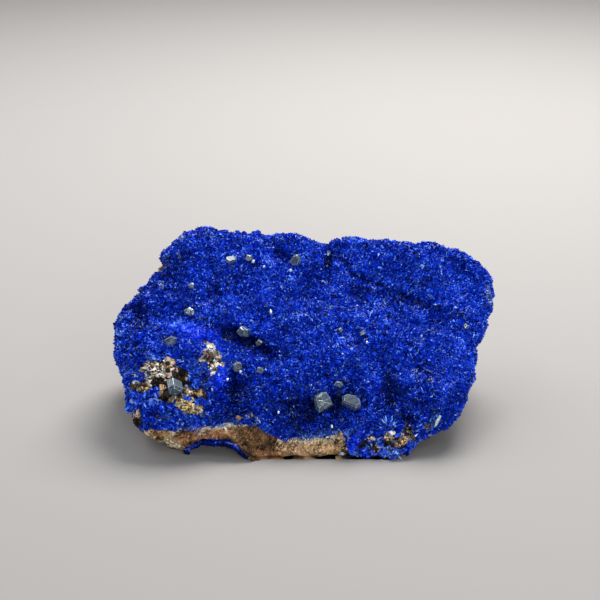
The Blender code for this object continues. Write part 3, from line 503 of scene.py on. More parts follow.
# A block: its chamfer's height and width as shares, the width of its worn edges, how far its corners turn
# and reach, how its top slopes, and how far its rings are drawn in and its corners moved.
CHAMFER = (0.24, 0.30)
EDGE_WIDTH = 0.028
CORNER_TURN = 0.34
CORNER_REACH = (0.82, 1.12)
TOP_SLOPE = 0.25
FOOT_SHARE = 0.92
RING_SPREAD = (0.4, 1.5)
CORNER_JITTER = 0.02
TOP_FACE = 1
EDGE_FACE = 30

# How far a grey crystal's middle stands out, in shares of its height, the druse left off round it, and its
# look: the most frost of a flat face and the frost of the edges.
SEAT_LIFT = (0.08, 0.18)
CLEARED = 0.34
CALCITE_IOR = 1.57
FACE_FROST = 0.75
EDGE_FROST = 0.8

# Small white crystals that catch the light: u, v, length, width. Their white is partly their own colour and
# partly a painted highlight for the glints. All are made smaller by the same shares.
GLINTS = [
    (-6, -2.4, 1.3, 0.8), (-22.6, 3.1, 1.1, 0.7), (-22.2, -2.7, 0.6, 1.2), (-9.9, 8.2, 0.8, 0.9),
    (-2, 6.3, 0.8, 0.9), (-7.6, 7.1, 0.6, 0.5), (-12, -14.5, 0.6, 1), (5.9, 9.8, 0.7, 0.6),
    (13.6, -8.6, 0.7, 0.5), (-14.6, -16, 0.6, 0.5), (-4.3, -22.3, 0.5, 0.6), (6.3, -25, 0.4, 0.8),
]
GLINT_SHARES = (0.85, 0.7)
GLINT_HEIGHT = 0.5
GLINT_LIFT = 0.45
GLINT_SIDES = 5

# The fan of blades, and the long white crystal at the lower right: u, v, length, width, turn in degrees.
FAN_ROOT = (17.2, -25.6)
FAN_TURN = (20.0, 165.0)
FAN_BLADES = 26
FAN_REACH = (0.1, 1.9)
FAN_JITTER = 0.5
FAN_LEAN = (0.05, 0.4)
BLADE_SUNK = 0.2
BLADE_SIZES = ((0.14, 0.28), (0.10, 0.18), (0.6, 1.5))
# The blades' paleness and tones are partly painted highlights, bright streaks along them.
BLADE_PALENESS_AND_HIGHLIGHTS = 0.5
BLADE_TONES_AND_HIGHLIGHTS = (0.2, 1.0)
BLADE_FACE_TONES = 0.12
WHITE_PRISM = (27.2, -24.0, 3.4, 0.7, -28.0)
PRISM_HEIGHT = 1.0
PRISM_LIFT = 0.35
PRISM_SIDES = 6

# Crystals of the arch's lining, smaller than the druse's, and their stains: the navy over all of it is
# painted shade, for the lining lies in the arch's shadow, and the pale blue and grey blue ones are painted
# highlights along its edge.
LINING_CRYSTALS = 3800
LINING_CRYSTAL_SHARE = 0.8
ARCH_STAINS = [
    ("in the shade", -17, -32, 9, 7, 0, "navy"), ("left foot", -22.4, -29.2, 1.1, 0.8, 0, "powder blue"),
    ("left shoulder", -20.4, -28.2, 1.5, 0.5, 25, "powder blue"),
    ("crown", -16.6, -27.8, 1.8, 0.4, 0, "grey blue"),
    ("right end", -12.8, -28.4, 1.7, 0.5, -30, "powder blue"),
]

# Satin crystals: the name of the material, its dark and its light colour.
SATINS = [
    ("frosted_calcite", (0.05, 0.09, 0.14), (0.26, 0.36, 0.45)),
    ("pale_crystal", (0.22, 0.30, 0.30), (0.66, 0.74, 0.70)),
    ("white_glint_crystal", (0.62, 0.70, 0.78), (0.95, 0.97, 1.0)),
]

# The studio, in metres and watts: place, size, power and colour of each light.
FLOOR_COLOUR = (0.265, 0.253, 0.245)
KEY_PLACE = (0.10, 0.25, 0.35)
LIGHTS = [
    ("key", KEY_PLACE, 0.26, 3.7, (1.0, 0.99, 0.97)),
    ("window", (-0.26, 0.22, 0.34), 0.40, 1.1, (0.97, 0.98, 1.0)),
    ("front", (0.12, -0.44, 0.14), 0.26, 1.25, (0.97, 0.98, 1.0)),
    ("spark_left", (-0.24, -0.10, 0.50), 0.02, 0.14, (0.85, 0.93, 1.0)),
    ("spark_middle", (0.05, -0.30, 0.50), 0.02, 0.14, (0.85, 0.93, 1.0)),
    ("spark_right", (0.36, -0.12, 0.40), 0.02, 0.14, (0.85, 0.93, 1.0)),
]
SKY = ((0.93, 0.96, 1.0), 0.32)
LIGHTS_AIM = (0.0, 0.0, 0.015)
FLOOR_HALF = 3.0

# The camera looks along the leaning frame from this many millimetres away.
CAMERA_AWAY = 254.6
CAMERA_LENS = 75.0
CAMERA_SENSOR = 36.0
CAMERA_NEAREST = 0.005


def upright(u, v, w):
    """A place of the leaning frame in millimetres of the upright frame."""
    return FRAME_ZERO + np.multiply.outer(u, ACROSS) + np.multiply.outer(v, CLIMB) + np.multiply.outer(w, OUT)


def leaning(places):
    """The u, v and w of places in millimetres of the upright frame."""
    offset = places - FRAME_ZERO
    return offset @ ACROSS, offset @ CLIMB, offset @ OUT


def smoothstep(low, high, value):
    """0 at low, 1 at high and a smooth change between them; low may be the larger."""
    share = np.clip((value - low) / (high - low), 0.0, 1.0)
    return share * share * (3.0 - 2.0 * share)


def along(line, u):
    """The v of a line of (u, v) points at u."""
    return np.interp(u, [point[0] for point in line], [point[1] for point in line])


def spot(u, v, u0, v0, half_u, half_v, turn):
    """Distance from the middle of a turned ellipse as a share of its size: 1 on its edge."""
    cosine, sine = math.cos(math.radians(turn)), math.sin(math.radians(turn))
    a = ((u - u0) * cosine + (v - v0) * sine) / half_u
    b = ((v - v0) * cosine - (u - u0) * sine) / half_v
    return np.hypot(a, b)


def smooth_noise(places, size, seed):
    """Smooth noise from about -1 to 1 at each place, with bumps of a size in millimetres."""
    shift = Vector((seed, 0.0, 0.0))
    return np.array([noise.noise(Vector(place) / size + shift) for place in places])


def bumps(places, kind):
    """Sum of smooth noise over octaves, each a size and a height in millimetres."""
    seed, octaves = kind
    return sum(height * smooth_noise(places, size, seed) for size, height in octaves)


def behind_face(v, w):
    """How far behind the crystal face's mean plane places lie, measured along OUT."""
    return -FACE_SLOPE * (v - FACE_LEVEL) - w


def near_face(v, w):
    """1 at the crystal face and just behind it, 0 at the sides and the back."""
    return smoothstep(*FACE_DEPTH, behind_face(v, w))


def form_heights(table, u, v):
    """Sum of the round forms of a table of name, u, v, half length, half width, turn and height."""
    return sum(row[-1] * np.exp(-spot(u, v, *row[1:6]) ** 2) for row in table)


def face_relief(u, v):
    """Height of the crystal face over its mean plane, from the named lumps, grooves and crease."""
    height = form_heights(LUMPS, u, v)
    for u0, v0, radius, rise in PITS:
        height = height + rise * np.exp(-((u - u0) ** 2 + (v - v0) ** 2) / radius ** 2)
    for _, start, end, half_width, rise in GROOVES:
        run = np.subtract(end, start)
        share = np.clip(((u - start[0]) * run[0] + (v - start[1]) * run[1]) / (run @ run), 0.0, 1.0)
        away = np.hypot(u - start[0] - share * run[0], v - start[1] - share * run[1]) / half_width
        height += rise * np.exp(-away * away)
    over = v - along(CREASE, u)
    reach = np.where(over > 0.0, CREASE_ABOVE, CREASE_BELOW)
    height -= CREASE_DEPTH * np.maximum(1.0 - np.abs(over) / reach, 0.0) * smoothstep(*CREASE_SETS_IN, u)
    return height - ROLL_OVER[1] * np.maximum(ROLL_OVER[0] - v, 0.0) ** 2


def chipped(places):
    """Height of the flat, tilted chips of broken rock."""
    noise.seed_set(CHIP_SEED)  # noise_vector gives other values each run without it
    heights = []
    for place in places:
        at = Vector(place) / CHIP_SIZE
        middle = noise.voronoi(at)[1][0]
        slope = noise.noise_vector(middle * CHIP_CHANGE)
        heights.append(CHIP_SLOPE * CHIP_SIZE * slope.dot(at - middle))
    return np.array(heights)


def rock_relief(places):
    """Height of the broken rock: lumps, chips, and ledges that follow its bedding."""
    waves = BED_WAVE_HEIGHT * smooth_noise(places, *BED_WAVES)
    bed = (places[:, 2] + BED_TILT * places[:, 0] + waves) / LEDGE_RISE
    ledge = smoothstep(*LEDGE_STEP, bed - np.floor(bed)) - 0.5
    middle, change, least, most = LEDGE_FADE
    fade = np.clip(middle + change * smooth_noise(places, *LEDGE_PATCHES), least, most)
    return bumps(places, ROCK_BUMPS) + chipped(places) + LEDGE_DEPTH * fade * ledge


def cut_away(block, point, direction):
    """Cut the block by a plane, remove what lies beyond it and close the cut."""
    geometry = block.verts[:] + block.edges[:] + block.faces[:]
    bmesh.ops.bisect_plane(block, geom=geometry, plane_co=point, plane_no=direction, clear_outer=True,
                           dist=ON_PLANE)
    bmesh.ops.holes_fill(block, edges=[edge for edge in block.edges if edge.is_boundary])
    bmesh.ops.triangulate(block, faces=[face for face in block.faces if len(face.verts) > 3])


def rock_outline():
    """The outline, moved out by what rounding takes and in by the crust's height where it is covered."""
    points = [Vector(point) for point in OUTLINE]
    moved = []
    for before, point, after in zip(points[-1:] + points[:-1], points, points[1:] + points[:1]):
        run = (after - before).normalized()
        inwards = Vector((run.y, -run.x))
        covered = point.y > along(CRUST_EDGE, point.x)
        moved.append(point + inwards * ((CRUST_HEIGHT if covered else 0.0) - ROUNDING_LOSS))
    return moved


def rough_block():
    """The rock's outline drawn out backwards, narrowing a little, and cut by the planes of the sides."""
    block = bmesh.new()
    outline = rock_outline()
    front = [block.verts.new(upright(u, v, DRAWN_FRONT)) for u, v in outline]
    back = [block.verts.new(upright(u * BACK_TAPER, v * BACK_TAPER, DRAWN_BACK)) for u, v in outline]
    block.faces.new(front)
    block.faces.new(reversed(back))
    for i in range(len(outline)):
        j = (i + 1) % len(outline)
        block.faces.new((front[i], back[i], back[j], front[j]))
    bmesh.ops.triangulate(block, faces=block.faces[:])
    bmesh.ops.recalc_face_normals(block, faces=block.faces[:])
    face_normal = Vector(OUT + CLIMB * FACE_SLOPE).normalized()
    cut_away(block, Vector(upright(0.0, FACE_LEVEL, 0.0)) - face_normal * CRUST_HEIGHT, face_normal)
    for _, point, direction in CUTS:
        cut_away(block, Vector(point), Vector(direction).normalized())
    bmesh.ops.remove_doubles(block, verts=block.verts[:], dist=SAME_POINT)
    bmesh.ops.recalc_face_normals(block, faces=block.faces[:])
    return block


def arch_ring(grow, y, steps):
    """Half an uneven ellipse in (x, y, z), grown by a distance, from its right foot to its left."""
    points = []
    for step in range(steps + 1):
        angle = math.pi * step / steps
        round_it = (ARCH_WAVES * math.cos(angle), ARCH_WAVES * math.sin(angle), y / ARCH_WAVE_LENGTH)
        swell = 1.0 + ARCH_SWELL * noise.noise(Vector(round_it))
        x = ARCH_X + (ARCH_HALF_WIDTH + grow) * math.cos(angle) * swell
        z = (ARCH_HEIGHT + grow) * math.sin(angle) * swell
        points.append((x, y + ARCH_SLANT * (ARCH_X - x), z))
    return points


def lofted(rings):
    """A closed solid through rings of equal length, its ends capped."""
    solid = bmesh.new()
    loops = [[solid.verts.new(point) for point in ring] for ring in rings]
    solid.faces.new(loops[0])
    solid.faces.new(reversed(loops[-1]))
    for near, far in zip(loops, loops[1:]):
        for i in range(len(near)):
            j = (i + 1) % len(near)
            solid.faces.new((near[i], far[i], far[j], near[j]))
    bmesh.ops.recalc_face_normals(solid, faces=solid.faces[:])
    return solid


def arch_hollow():
    """The hollow of the arch, with room for half of its lining."""
    rings = []
    for y in np.linspace(ARCH_FRONT - ARCH_BEFORE, ARCH_BACK, ARCH_RINGS):
        shift = y - max(y, ARCH_FRONT)
        gap = ARCH_GAP * max(1.0 - (y - shift - ARCH_FRONT) / ARCH_GAP_REACH, 0.0)
        inner = arch_ring(0.5 * ARCH_CRUST + gap, y - shift, ARCH_RING_STEPS)
        inner = [(x, depth + shift, z) for x, depth, z in inner]
        rings.append([(*inner[0][:2], ARCH_BELOW)] + inner + [(*inner[-1][:2], ARCH_BELOW)])
    return lofted(rings)


def scratch_object(name, bm):
    """A bmesh as an object of the scene, for modifiers to work on."""
    mesh = bpy.data.meshes.new(name)
    bm.to_mesh(mesh)
    bm.free()
    thing = bpy.data.objects.new(name, mesh)
    bpy.context.scene.collection.objects.link(thing)
    return thing


def fine_body():
    """Points, normals and quads of the body in fine facets, its corners rounded and the arch cut."""
    hollow = scratch_object("arch_hollow", arch_hollow())
    body = scratch_object("body", rough_block())
    for kind, settings in [
        ("REMESH", {"mode": "VOXEL", "voxel_size": FINE}),
        ("SMOOTH", {"factor": 0.5, "iterations": ROUNDING}),
        ("BOOLEAN", {"object": hollow, "operation": "DIFFERENCE", "solver": "MANIFOLD"}),
        ("REMESH", {"mode": "VOXEL", "voxel_size": FINE}),
        ("SMOOTH", {"factor": 0.5, "iterations": LAST_ROUNDING}),
    ]:
        modifier = body.modifiers.new(kind.lower(), kind)
        for key, value in settings.items():
            setattr(modifier, key, value)
    graph = bpy.context.evaluated_depsgraph_get()
    mesh = bpy.data.meshes.new_from_object(body.evaluated_get(graph))
    arrays = mesh_arrays(mesh)
    bpy.data.meshes.remove(mesh)
    for thing in (body, hollow):
        shape = thing.data
        bpy.data.objects.remove(thing, do_unlink=True)
        bpy.data.meshes.remove(shape)
    return arrays


def mesh_arrays(mesh):
    """Points, point normals and quads of a mesh whose faces are all quads."""
    points = np.empty(len(mesh.vertices) * 3)
    mesh.vertices.foreach_get("co", points)
    normals = np.empty(len(mesh.vertices) * 3)
    mesh.vertex_normals.foreach_get("vector", normals)
    quads = np.empty(len(mesh.loops), np.int64)
    mesh.loops.foreach_get("vertex_index", quads)
    return points.reshape(-1, 3), normals.reshape(-1, 3), quads.reshape(-1, 4)


def point_normals(points, quads):
    """Normals at the points of a mesh of quads, weighted by area."""
    across = np.cross(points[quads[:, 2]] - points[quads[:, 0]], points[quads[:, 3]] - points[quads[:, 1]])
    normals = np.zeros_like(points)
    for corner in range(4):
        np.add.at(normals, quads[:, corner], across)
    return normals / np.maximum(np.linalg.norm(normals, axis=1, keepdims=True), 1e-12)


# Corners of a quad and of a triangle in their own square of the map.
QUAD_CELL = np.array([(0.15, 0.15), (0.85, 0.15), (0.85, 0.85), (0.15, 0.85)])
TRIANGLE_CELL = np.array([(0.12, 0.12), (0.88, 0.12), (0.12, 0.88)])


def cell_map(faces):
    """A map that gives every face a square of its own, so that baked colours don't run together."""
    across = math.ceil(math.sqrt(sum(len(group) for group in faces)))
    places, start = [], 0
    for group in faces:
        cells = np.arange(start, start + len(group))
        corner = np.column_stack([cells % across, cells // across])
        shape = QUAD_CELL if group.shape[1] == 4 else TRIANGLE_CELL
        places.append((corner[:, None, :] + shape[None, :, :]).reshape(-1, 2) / across)
        start += len(group)
    return np.concatenate(places)


def new_piece(name, points, faces, materials, replaced=(), smooth=True, values=None):
    """A mesh object from arrays, riding on the specimen, with its values and its own map."""
    mesh = bpy.data.meshes.new(name)
    mesh.vertices.add(len(points))
    mesh.vertices.foreach_set("co", ((points - MIDDLE) * MM).astype(np.float32).ravel())
    loops = np.concatenate([group.ravel() for group in faces])
    sizes = np.concatenate([np.full(len(group), group.shape[1]) for group in faces])
    mesh.loops.add(len(loops))
    mesh.loops.foreach_set("vertex_index", loops.astype(np.int32))
    mesh.polygons.add(len(sizes))
    mesh.polygons.foreach_set("loop_start", (np.cumsum(sizes) - sizes).astype(np.int32))
    mesh.update(calc_edges=True)
    for key, (domain, numbers) in (values or {}).items():
        kind, field = ("FLOAT", "value") if numbers.ndim == 1 else ("FLOAT_COLOR", "color")
        mesh.attributes.new(key, kind, domain).data.foreach_set(field, numbers.astype(np.float32).ravel())
    layer = mesh.uv_layers.new(name="OFBake")
    layer.uv.foreach_set("vector", cell_map(faces).astype(np.float32).ravel())
    mesh.polygons.foreach_set("use_smooth", np.full(len(mesh.polygons), smooth))
    for material in materials:
        mesh.materials.append(material)
    piece = bpy.data.objects.new(name, mesh)
    bpy.context.scene.collection.objects.link(piece)
    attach(piece, "root")
    if replaced:
        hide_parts(*replaced)
    return piece


def stained(places, table, edges):
    """Colour of the stains of a table at places, with their share as the fourth number."""
    u, v, w = leaning(places)
    ragged = bumps(places, edges)
    front = near_face(v, w)
    result = np.zeros((len(places), 4))
    for row in table:
        share = smoothstep(*STAIN_EDGE, spot(u, v, *row[1:6]) + ragged) * front
        total = share + result[:, 3] * (1.0 - share)
        blend = share / np.maximum(total, 1e-6)
        result[:, :3] += (np.array(COLOURS[row[6]]) - result[:, :3]) * blend[:, None]
        result[:, 3] = total
    return result


def broken(places):
    """How far places lie in the zones of broken bits, from 0 to 1."""
    u, v, w = leaning(places)
    nearest = np.minimum.reduce([spot(u, v, *row[1:6]) for row in BROKEN])
    return smoothstep(*BROKEN_EDGE, nearest) * near_face(v, w)


def coverage(points, normals):
    """How far inside the blue crust's edge each point of the body lies, in millimetres."""
    u, v, w = leaning(points)
    ragged = bumps(points, RAGGED)
    crumbled = bumps(points, CRUMBLED)
    below = v - along(CRUST_EDGE, u) + EDGE_RAGGED * ragged
    windows = np.full(len(points), FAR_INSIDE)
    for row in BARE:
        depth = (spot(u, v, *row[1:6]) - 1.0) * min(row[3], row[4], DEEPEST_WINDOW)
        windows = np.minimum(windows, depth + row[6] * crumbled)
    windows = np.where(behind_face(v, w) < WINDOW_DEPTH, windows, FAR_INSIDE)
    reach = np.where(u > RIGHT_SIDE, RIGHT_WRAP, np.where(u < LEFT_SIDE, LEFT_WRAP, RIM_WRAP))
    wrap = reach - behind_face(v, w) + WRAP_RAGGED * ragged
    wrap = np.where(normals @ OUT > FRONT_FACING, FAR_INSIDE, wrap)
    return np.minimum.reduce([below, windows, wrap, points[:, 2] - CRUST_FOOT])


def shaped_body():
    """The fine body with its relief, standing on its flat foot, and how far each point is covered."""
    points, normals, quads = fine_body()
    u, v, w = leaning(points)
    turned = normals @ OUT
    relief = smoothstep(*FACE_TURN, turned) * (face_relief(u, v) + bumps(points, CRUST_BUMPS))
    rough = smoothstep(*ROCK_TURN, turned) * rock_relief(points)
    cover = coverage(points, normals)
    front_bare = smoothstep(*BARE_DEPTH, cover) * smoothstep(*FRONT_TURN, turned)
    forms = form_heights(BARE_FORMS, u, v) * near_face(v, w)
    rough += front_bare * (bumps(points, SUGARY_BUMPS) + forms)
    points = points + np.outer(relief, OUT) + normals * rough[:, None]
    middle, half_width, depth, low, high = NOTCH
    dent = depth * np.exp(-((u - middle) / half_width) ** 2) * smoothstep(low, high, v)
    points -= np.outer(dent, CLIMB)
    below = np.minimum(points[:, 2], 0.0)
    points[:, :2] += normals[:, :2] * (FOOT_TUCK * below)[:, None]
    points[:, 2] -= below
    foot = smoothstep(*FOOT_HEIGHT, points[:, 2]) * smoothstep(*FOOT_TURN, normals[:, 2])
    points[:, 2] += FOOT_DENT * foot * np.clip(smooth_noise(points, *FOOT_WAVES), 0.0, 1.0)
    return points, point_normals(points, quads), quads, cover


def crust_shell(points, normals, quads, cover):
    """The crust under the druse: its points, its outward quads and the quads of its inner side."""
    kept = quads[cover[quads].mean(axis=1) > 0.0]
    used = np.unique(kept)
    renumber = np.full(len(points), -1)
    renumber[used] = np.arange(len(used))
    top = renumber[kept]
    places, outwards, inset = points[used], normals[used], cover[used]
    u, v, _ = leaning(places)
    thinned = THIN_FOOT * smoothstep(*THIN_FOOT_U, u) * smoothstep(*THIN_FOOT_V, v)
    rise = (1.0 - thinned) * CRUST_THICKNESS * np.sqrt(np.clip(inset / CRUST_ROUNDING, CRUST_BRIM, 1.0))
    rise = rise + smoothstep(*DRUSE_SETS_IN, inset) * bumps(places, DRUSE_BUMPS)
    outer = places + outwards * rise[:, None]
    inner = places - outwards * CRUST_SUNK
    outer[:, 2] = np.maximum(outer[:, 2], LOWEST)
    inner[:, 2] = np.maximum(inner[:, 2], LOWEST)
    directed = np.concatenate([top[:, [i, (i + 1) % 4]] for i in range(4)])
    _, first, counts = np.unique(np.sort(directed, axis=1), axis=0, return_index=True, return_counts=True)
    rim = directed[first[counts == 1]]
    count = len(used)
    side = np.column_stack([rim[:, 1], rim[:, 0], rim[:, 0] + count, rim[:, 1] + count])
    return np.concatenate([outer, inner]), np.concatenate([top, side]), top[:, ::-1] + count


def random_places(points, quads, count, draw, weights=None):
    """Places spread over quads by area, with the normal of each."""
    triangles = np.concatenate([quads[:, [0, 1, 2]], quads[:, [0, 2, 3]]])
    a, b, c = (points[triangles[:, i]] for i in range(3))
    across = np.cross(b - a, c - a)
    area = np.linalg.norm(across, axis=1)
    share = area if weights is None else area * np.tile(weights, 2)
    chosen = draw.choice(len(triangles), size=count, p=share / share.sum())
    s, t = draw.random(count), draw.random(count)
    flip = s + t > 1.0
    s, t = np.where(flip, 1.0 - s, s)[:, None], np.where(flip, 1.0 - t, t)[:, None]
    places = a[chosen] * (1.0 - s - t) + b[chosen] * s + c[chosen] * t
    return places, across[chosen] / np.maximum(area[chosen], 1e-12)[:, None]


# Shapes of small crystals, open where they are sunk in the crust, and of grains: points, quads, triangles.
POINTED = (
    np.array([(-0.5, -0.35, 0), (0.55, -0.3, 0), (-0.05, 0.5, 0), (0.08, 0.02, 1)]),
    np.zeros((0, 4), int),
    np.array([(0, 1, 3), (1, 2, 3), (2, 0, 3)]),
)
WEDGE = (
    np.array([(-0.5, -0.5, 0), (0.5, -0.5, 0), (0.5, 0.5, 0), (-0.5, 0.5, 0),
              (-0.3, 0.05, 1), (0.3, -0.05, 1)]),
    np.array([(0, 1, 5, 4), (2, 3, 4, 5)]),
    np.array([(1, 2, 5), (3, 0, 4)]),
)
CHISEL = (
    np.array([(-0.42, -0.42, 0), (0.42, -0.42, 0), (0.42, 0.42, 0), (-0.42, 0.42, 0),
              (-0.5, -0.5, 0.62), (0.5, -0.5, 0.58), (0.5, 0.5, 0.64), (-0.5, 0.5, 0.6),
              (-0.22, 0.06, 1), (0.22, -0.04, 1)]),
    np.array([(0, 1, 5, 4), (1, 2, 6, 5), (2, 3, 7, 6), (3, 0, 4, 7), (4, 5, 9, 8), (6, 7, 8, 9)]),
    np.array([(5, 6, 9), (7, 4, 8)]),
)
GRAIN = (
    np.array([(1, 0.1, 0), (-0.1, 1, 0.1), (-0.9, -0.1, 0), (0.1, -1, -0.1),
              (0, 0.1, 0.9), (0.1, 0, -0.8)]) * 0.5,
    np.zeros((0, 4), int),
    np.array([(0, 1, 4), (1, 2, 4), (2, 3, 4), (3, 0, 4), (1, 0, 5), (2, 1, 5), (3, 2, 5), (0, 3, 5)]),
)
FRAGMENT = (
    np.array([(-0.5, -0.4, -0.45), (0.55, -0.5, -0.4), (0.4, 0.5, -0.5), (-0.5, 0.35, -0.35),
              (-0.3, -0.5, 0.4), (0.45, -0.35, 0.5), (0.5, 0.4, 0.3), (-0.45, 0.5, 0.45)]),
    np.array([(3, 2, 1, 0), (4, 5, 6, 7), (0, 1, 5, 4), (1, 2, 6, 5), (2, 3, 7, 6), (3, 0, 4, 7)]),
    np.zeros((0, 3), int),
)
CRYSTAL_SHAPES = (POINTED, WEDGE, CHISEL, WEDGE)


def turned_frames(outwards, tilt, draw):
    """For each direction, three axes: one near the direction and two across it, turned at random."""
    count = len(outwards)
    upward = outwards + tilt * draw.normal(size=(count, 3))
    upward /= np.linalg.norm(upward, axis=1, keepdims=True)
    sideways = np.cross(upward, draw.normal(size=(count, 3)))
    sideways /= np.maximum(np.linalg.norm(sideways, axis=1, keepdims=True), 1e-9)
    return np.stack([sideways, np.cross(upward, sideways), upward], axis=1)


def copies(shape, places, frames, sizes):
    """A shape repeated at places, in frames and sizes: points, quads and triangles."""
    base, quads, triangles = shape
    points = np.einsum("nk,pk,nkj->npj", sizes, base, frames) + places[:, None, :]
    start = (np.arange(len(places)) * len(base))[:, None, None]
    return points.reshape(-1, 3), (quads + start).reshape(-1, 4), (triangles + start).reshape(-1, 3)


def crystal_batch(shapes, places, frames, sizes, kinds, values, draw, spread):
    """Copies of several shapes as one mesh: points, faces, and each face's values."""
    points, quads, triangles = [], [], []
    of_quads, of_triangles = [], []
    start = 0
    for kind, shape in enumerate(shapes):
        chosen = np.flatnonzero(kinds == kind)
        made = copies(shape, places[chosen], frames[chosen], sizes[chosen])
        points.append(made[0])
        quads.append(made[1] + start)
        triangles.append(made[2] + start)
        of_quads.append(np.repeat(chosen, len(shape[1])))
        of_triangles.append(np.repeat(chosen, len(shape[2])))
        start += len(made[0])
    owner = np.concatenate(of_quads + of_triangles)
    on_faces = {key: ("FACE", numbers[owner]) for key, numbers in values.items()}
    # Each face's own change of tone; on the azurite it also paints reflections inside the crystals.
    tone = on_faces["tone"][1] + draw.normal(scale=spread, size=len(owner))
    on_faces["tone"] = ("FACE", np.clip(tone, 0.0, 1.0))
    points = np.concatenate(points)
    points[:, 2] = np.maximum(points[:, 2], LOWEST)
    faces = [group for group in (np.concatenate(quads), np.concatenate(triangles)) if len(group)]
    return points, faces, on_faces


class Nodes:
    """A new material with a Principled shader, and short ways to add and join its nodes."""

    def __init__(self, name):
        self.material = bpy.data.materials.new(name)
        self.material.use_nodes = True
        self.tree = self.material.node_tree
        self.shader = self.tree.nodes["Principled BSDF"]

    def add(self, kind, **settings):
        """A node with settings of its own or of its inputs."""
        node = self.tree.nodes.new(kind)
        for key, value in settings.items():
            if key in node.inputs:
                node.inputs[key].default_value = value
            else:
                setattr(node, key, value)
        return node

    def set(self, **settings):
        """Set plain values on the shader, with _ for each space in a socket's name."""
        for key, value in settings.items():
            self.shader.inputs[key.replace("_", " ")].default_value = value

    def join(self, source, target):
        """Join an output to an input, or to an input of the shader by its name."""
        self.tree.links.new(source, self.shader.inputs[target] if isinstance(target, str) else target)

    def value(self, name, output):
        """An output of the values that new_piece gives to points or faces."""
        return self.add("ShaderNodeAttribute", attribute_name=name).outputs[output]

    def mix(self, share, first, second, blend="MIX"):
        """Two colours mixed or multiplied by a share; each is an output or a value."""
        node = self.add("ShaderNodeMix", data_type="RGBA", blend_type=blend)
        for value, key in ((share, "Factor"), (first, "A"), (second, "B")):
            if isinstance(value, bpy.types.NodeSocket):
                self.join(value, node.inputs[key])
            else:
                node.inputs[key].default_value = value
        return node.outputs["Result"]

    def ramp(self, source, stops):
        """A colour for each level of a source, from stops of a level and a colour."""
        node = self.add("ShaderNodeValToRGB")
        elements = node.color_ramp.elements
        while len(elements) < len(stops):
            elements.new(0.5)
        for element, (place, colour) in zip(elements, stops):
            element.position = place
            element.color = (*colour, 1.0)
        self.join(source, node.inputs["Fac"])
        return node.outputs["Color"]

    def cloud(self, scale, detail, roughness=0.6):
        """Noise fixed to the object."""
        place = self.add("ShaderNodeTexCoord")
        texture = self.add("ShaderNodeTexNoise", Scale=scale, Detail=detail, Roughness=roughness)
        self.join(place.outputs["Object"], texture.inputs["Vector"])
        return texture.outputs["Fac"]

    def spread(self, source, low, high, to_low, to_high):
        """A source's values from low to high, spread from to_low to to_high."""
        node = self.add("ShaderNodeMapRange")
        for key, value in (("From Min", low), ("From Max", high), ("To Min", to_low), ("To Max", to_high)):
            node.inputs[key].default_value = value
        self.join(source, node.inputs["Value"])
        return node.outputs["Result"]

    def sum_of(self, first, second):
        """The sum of two outputs, from 0 to 1."""
        node = self.add("ShaderNodeMath", operation="ADD", use_clamp=True)
        self.join(first, node.inputs[0])
        self.join(second, node.inputs[1])
        return node.outputs[0]

    def stain_over(self, plain, level, shades):
        """The stain, shaded by the level, over a plain colour by its share, as the shader's colour."""
        stain = self.add("ShaderNodeAttribute", attribute_name="stain")
        shaded = self.mix(1.0, stain.outputs["Color"], self.ramp(level, shades), "MULTIPLY")
        self.join(self.mix(stain.outputs["Alpha"], plain, shaded), "Base Color")


def azurite_material():
    """Deep blue glassy crystals, each face with its own tone that also carries painted light, shade and
    reflections; some pale and some painted as sparkles.
    """
    nodes = Nodes("azurite_crystal")
    # The tone carries each face's own tone with the painted light, shade and reflections given to it.
    tone = nodes.value("tone", "Fac")
    level = nodes.sum_of(tone, nodes.spread(nodes.cloud(260.0, 3.0), 0.25, 0.75, -0.10, 0.10))
    blue = nodes.ramp(level, [
        (0.0, (0.0001, 0.0008, 0.022)), (0.28, (0.0006, 0.0085, 0.25)), (0.60, (0.0026, 0.040, 0.74)),
        (0.82, (0.035, 0.16, 0.92)), (1.0, (0.24, 0.46, 1.0)),
    ])
    nodes.stain_over(blue, level, [
        (0.0, (0.01, 0.02, 0.10)), (0.45, (0.22, 0.34, 0.74)), (0.72, (0.80, 0.88, 1.0)),
        (1.0, (1.0, 1.0, 1.0)),
    ])
    nodes.join(nodes.spread(nodes.cloud(2600.0, 1.0), 0.3, 0.7, 0.16, 0.34), "Roughness")
    nodes.set(IOR=1.6, Specular_IOR_Level=0.15, Specular_Tint=(0.30, 0.62, 1.0, 1.0))
    return nodes.material


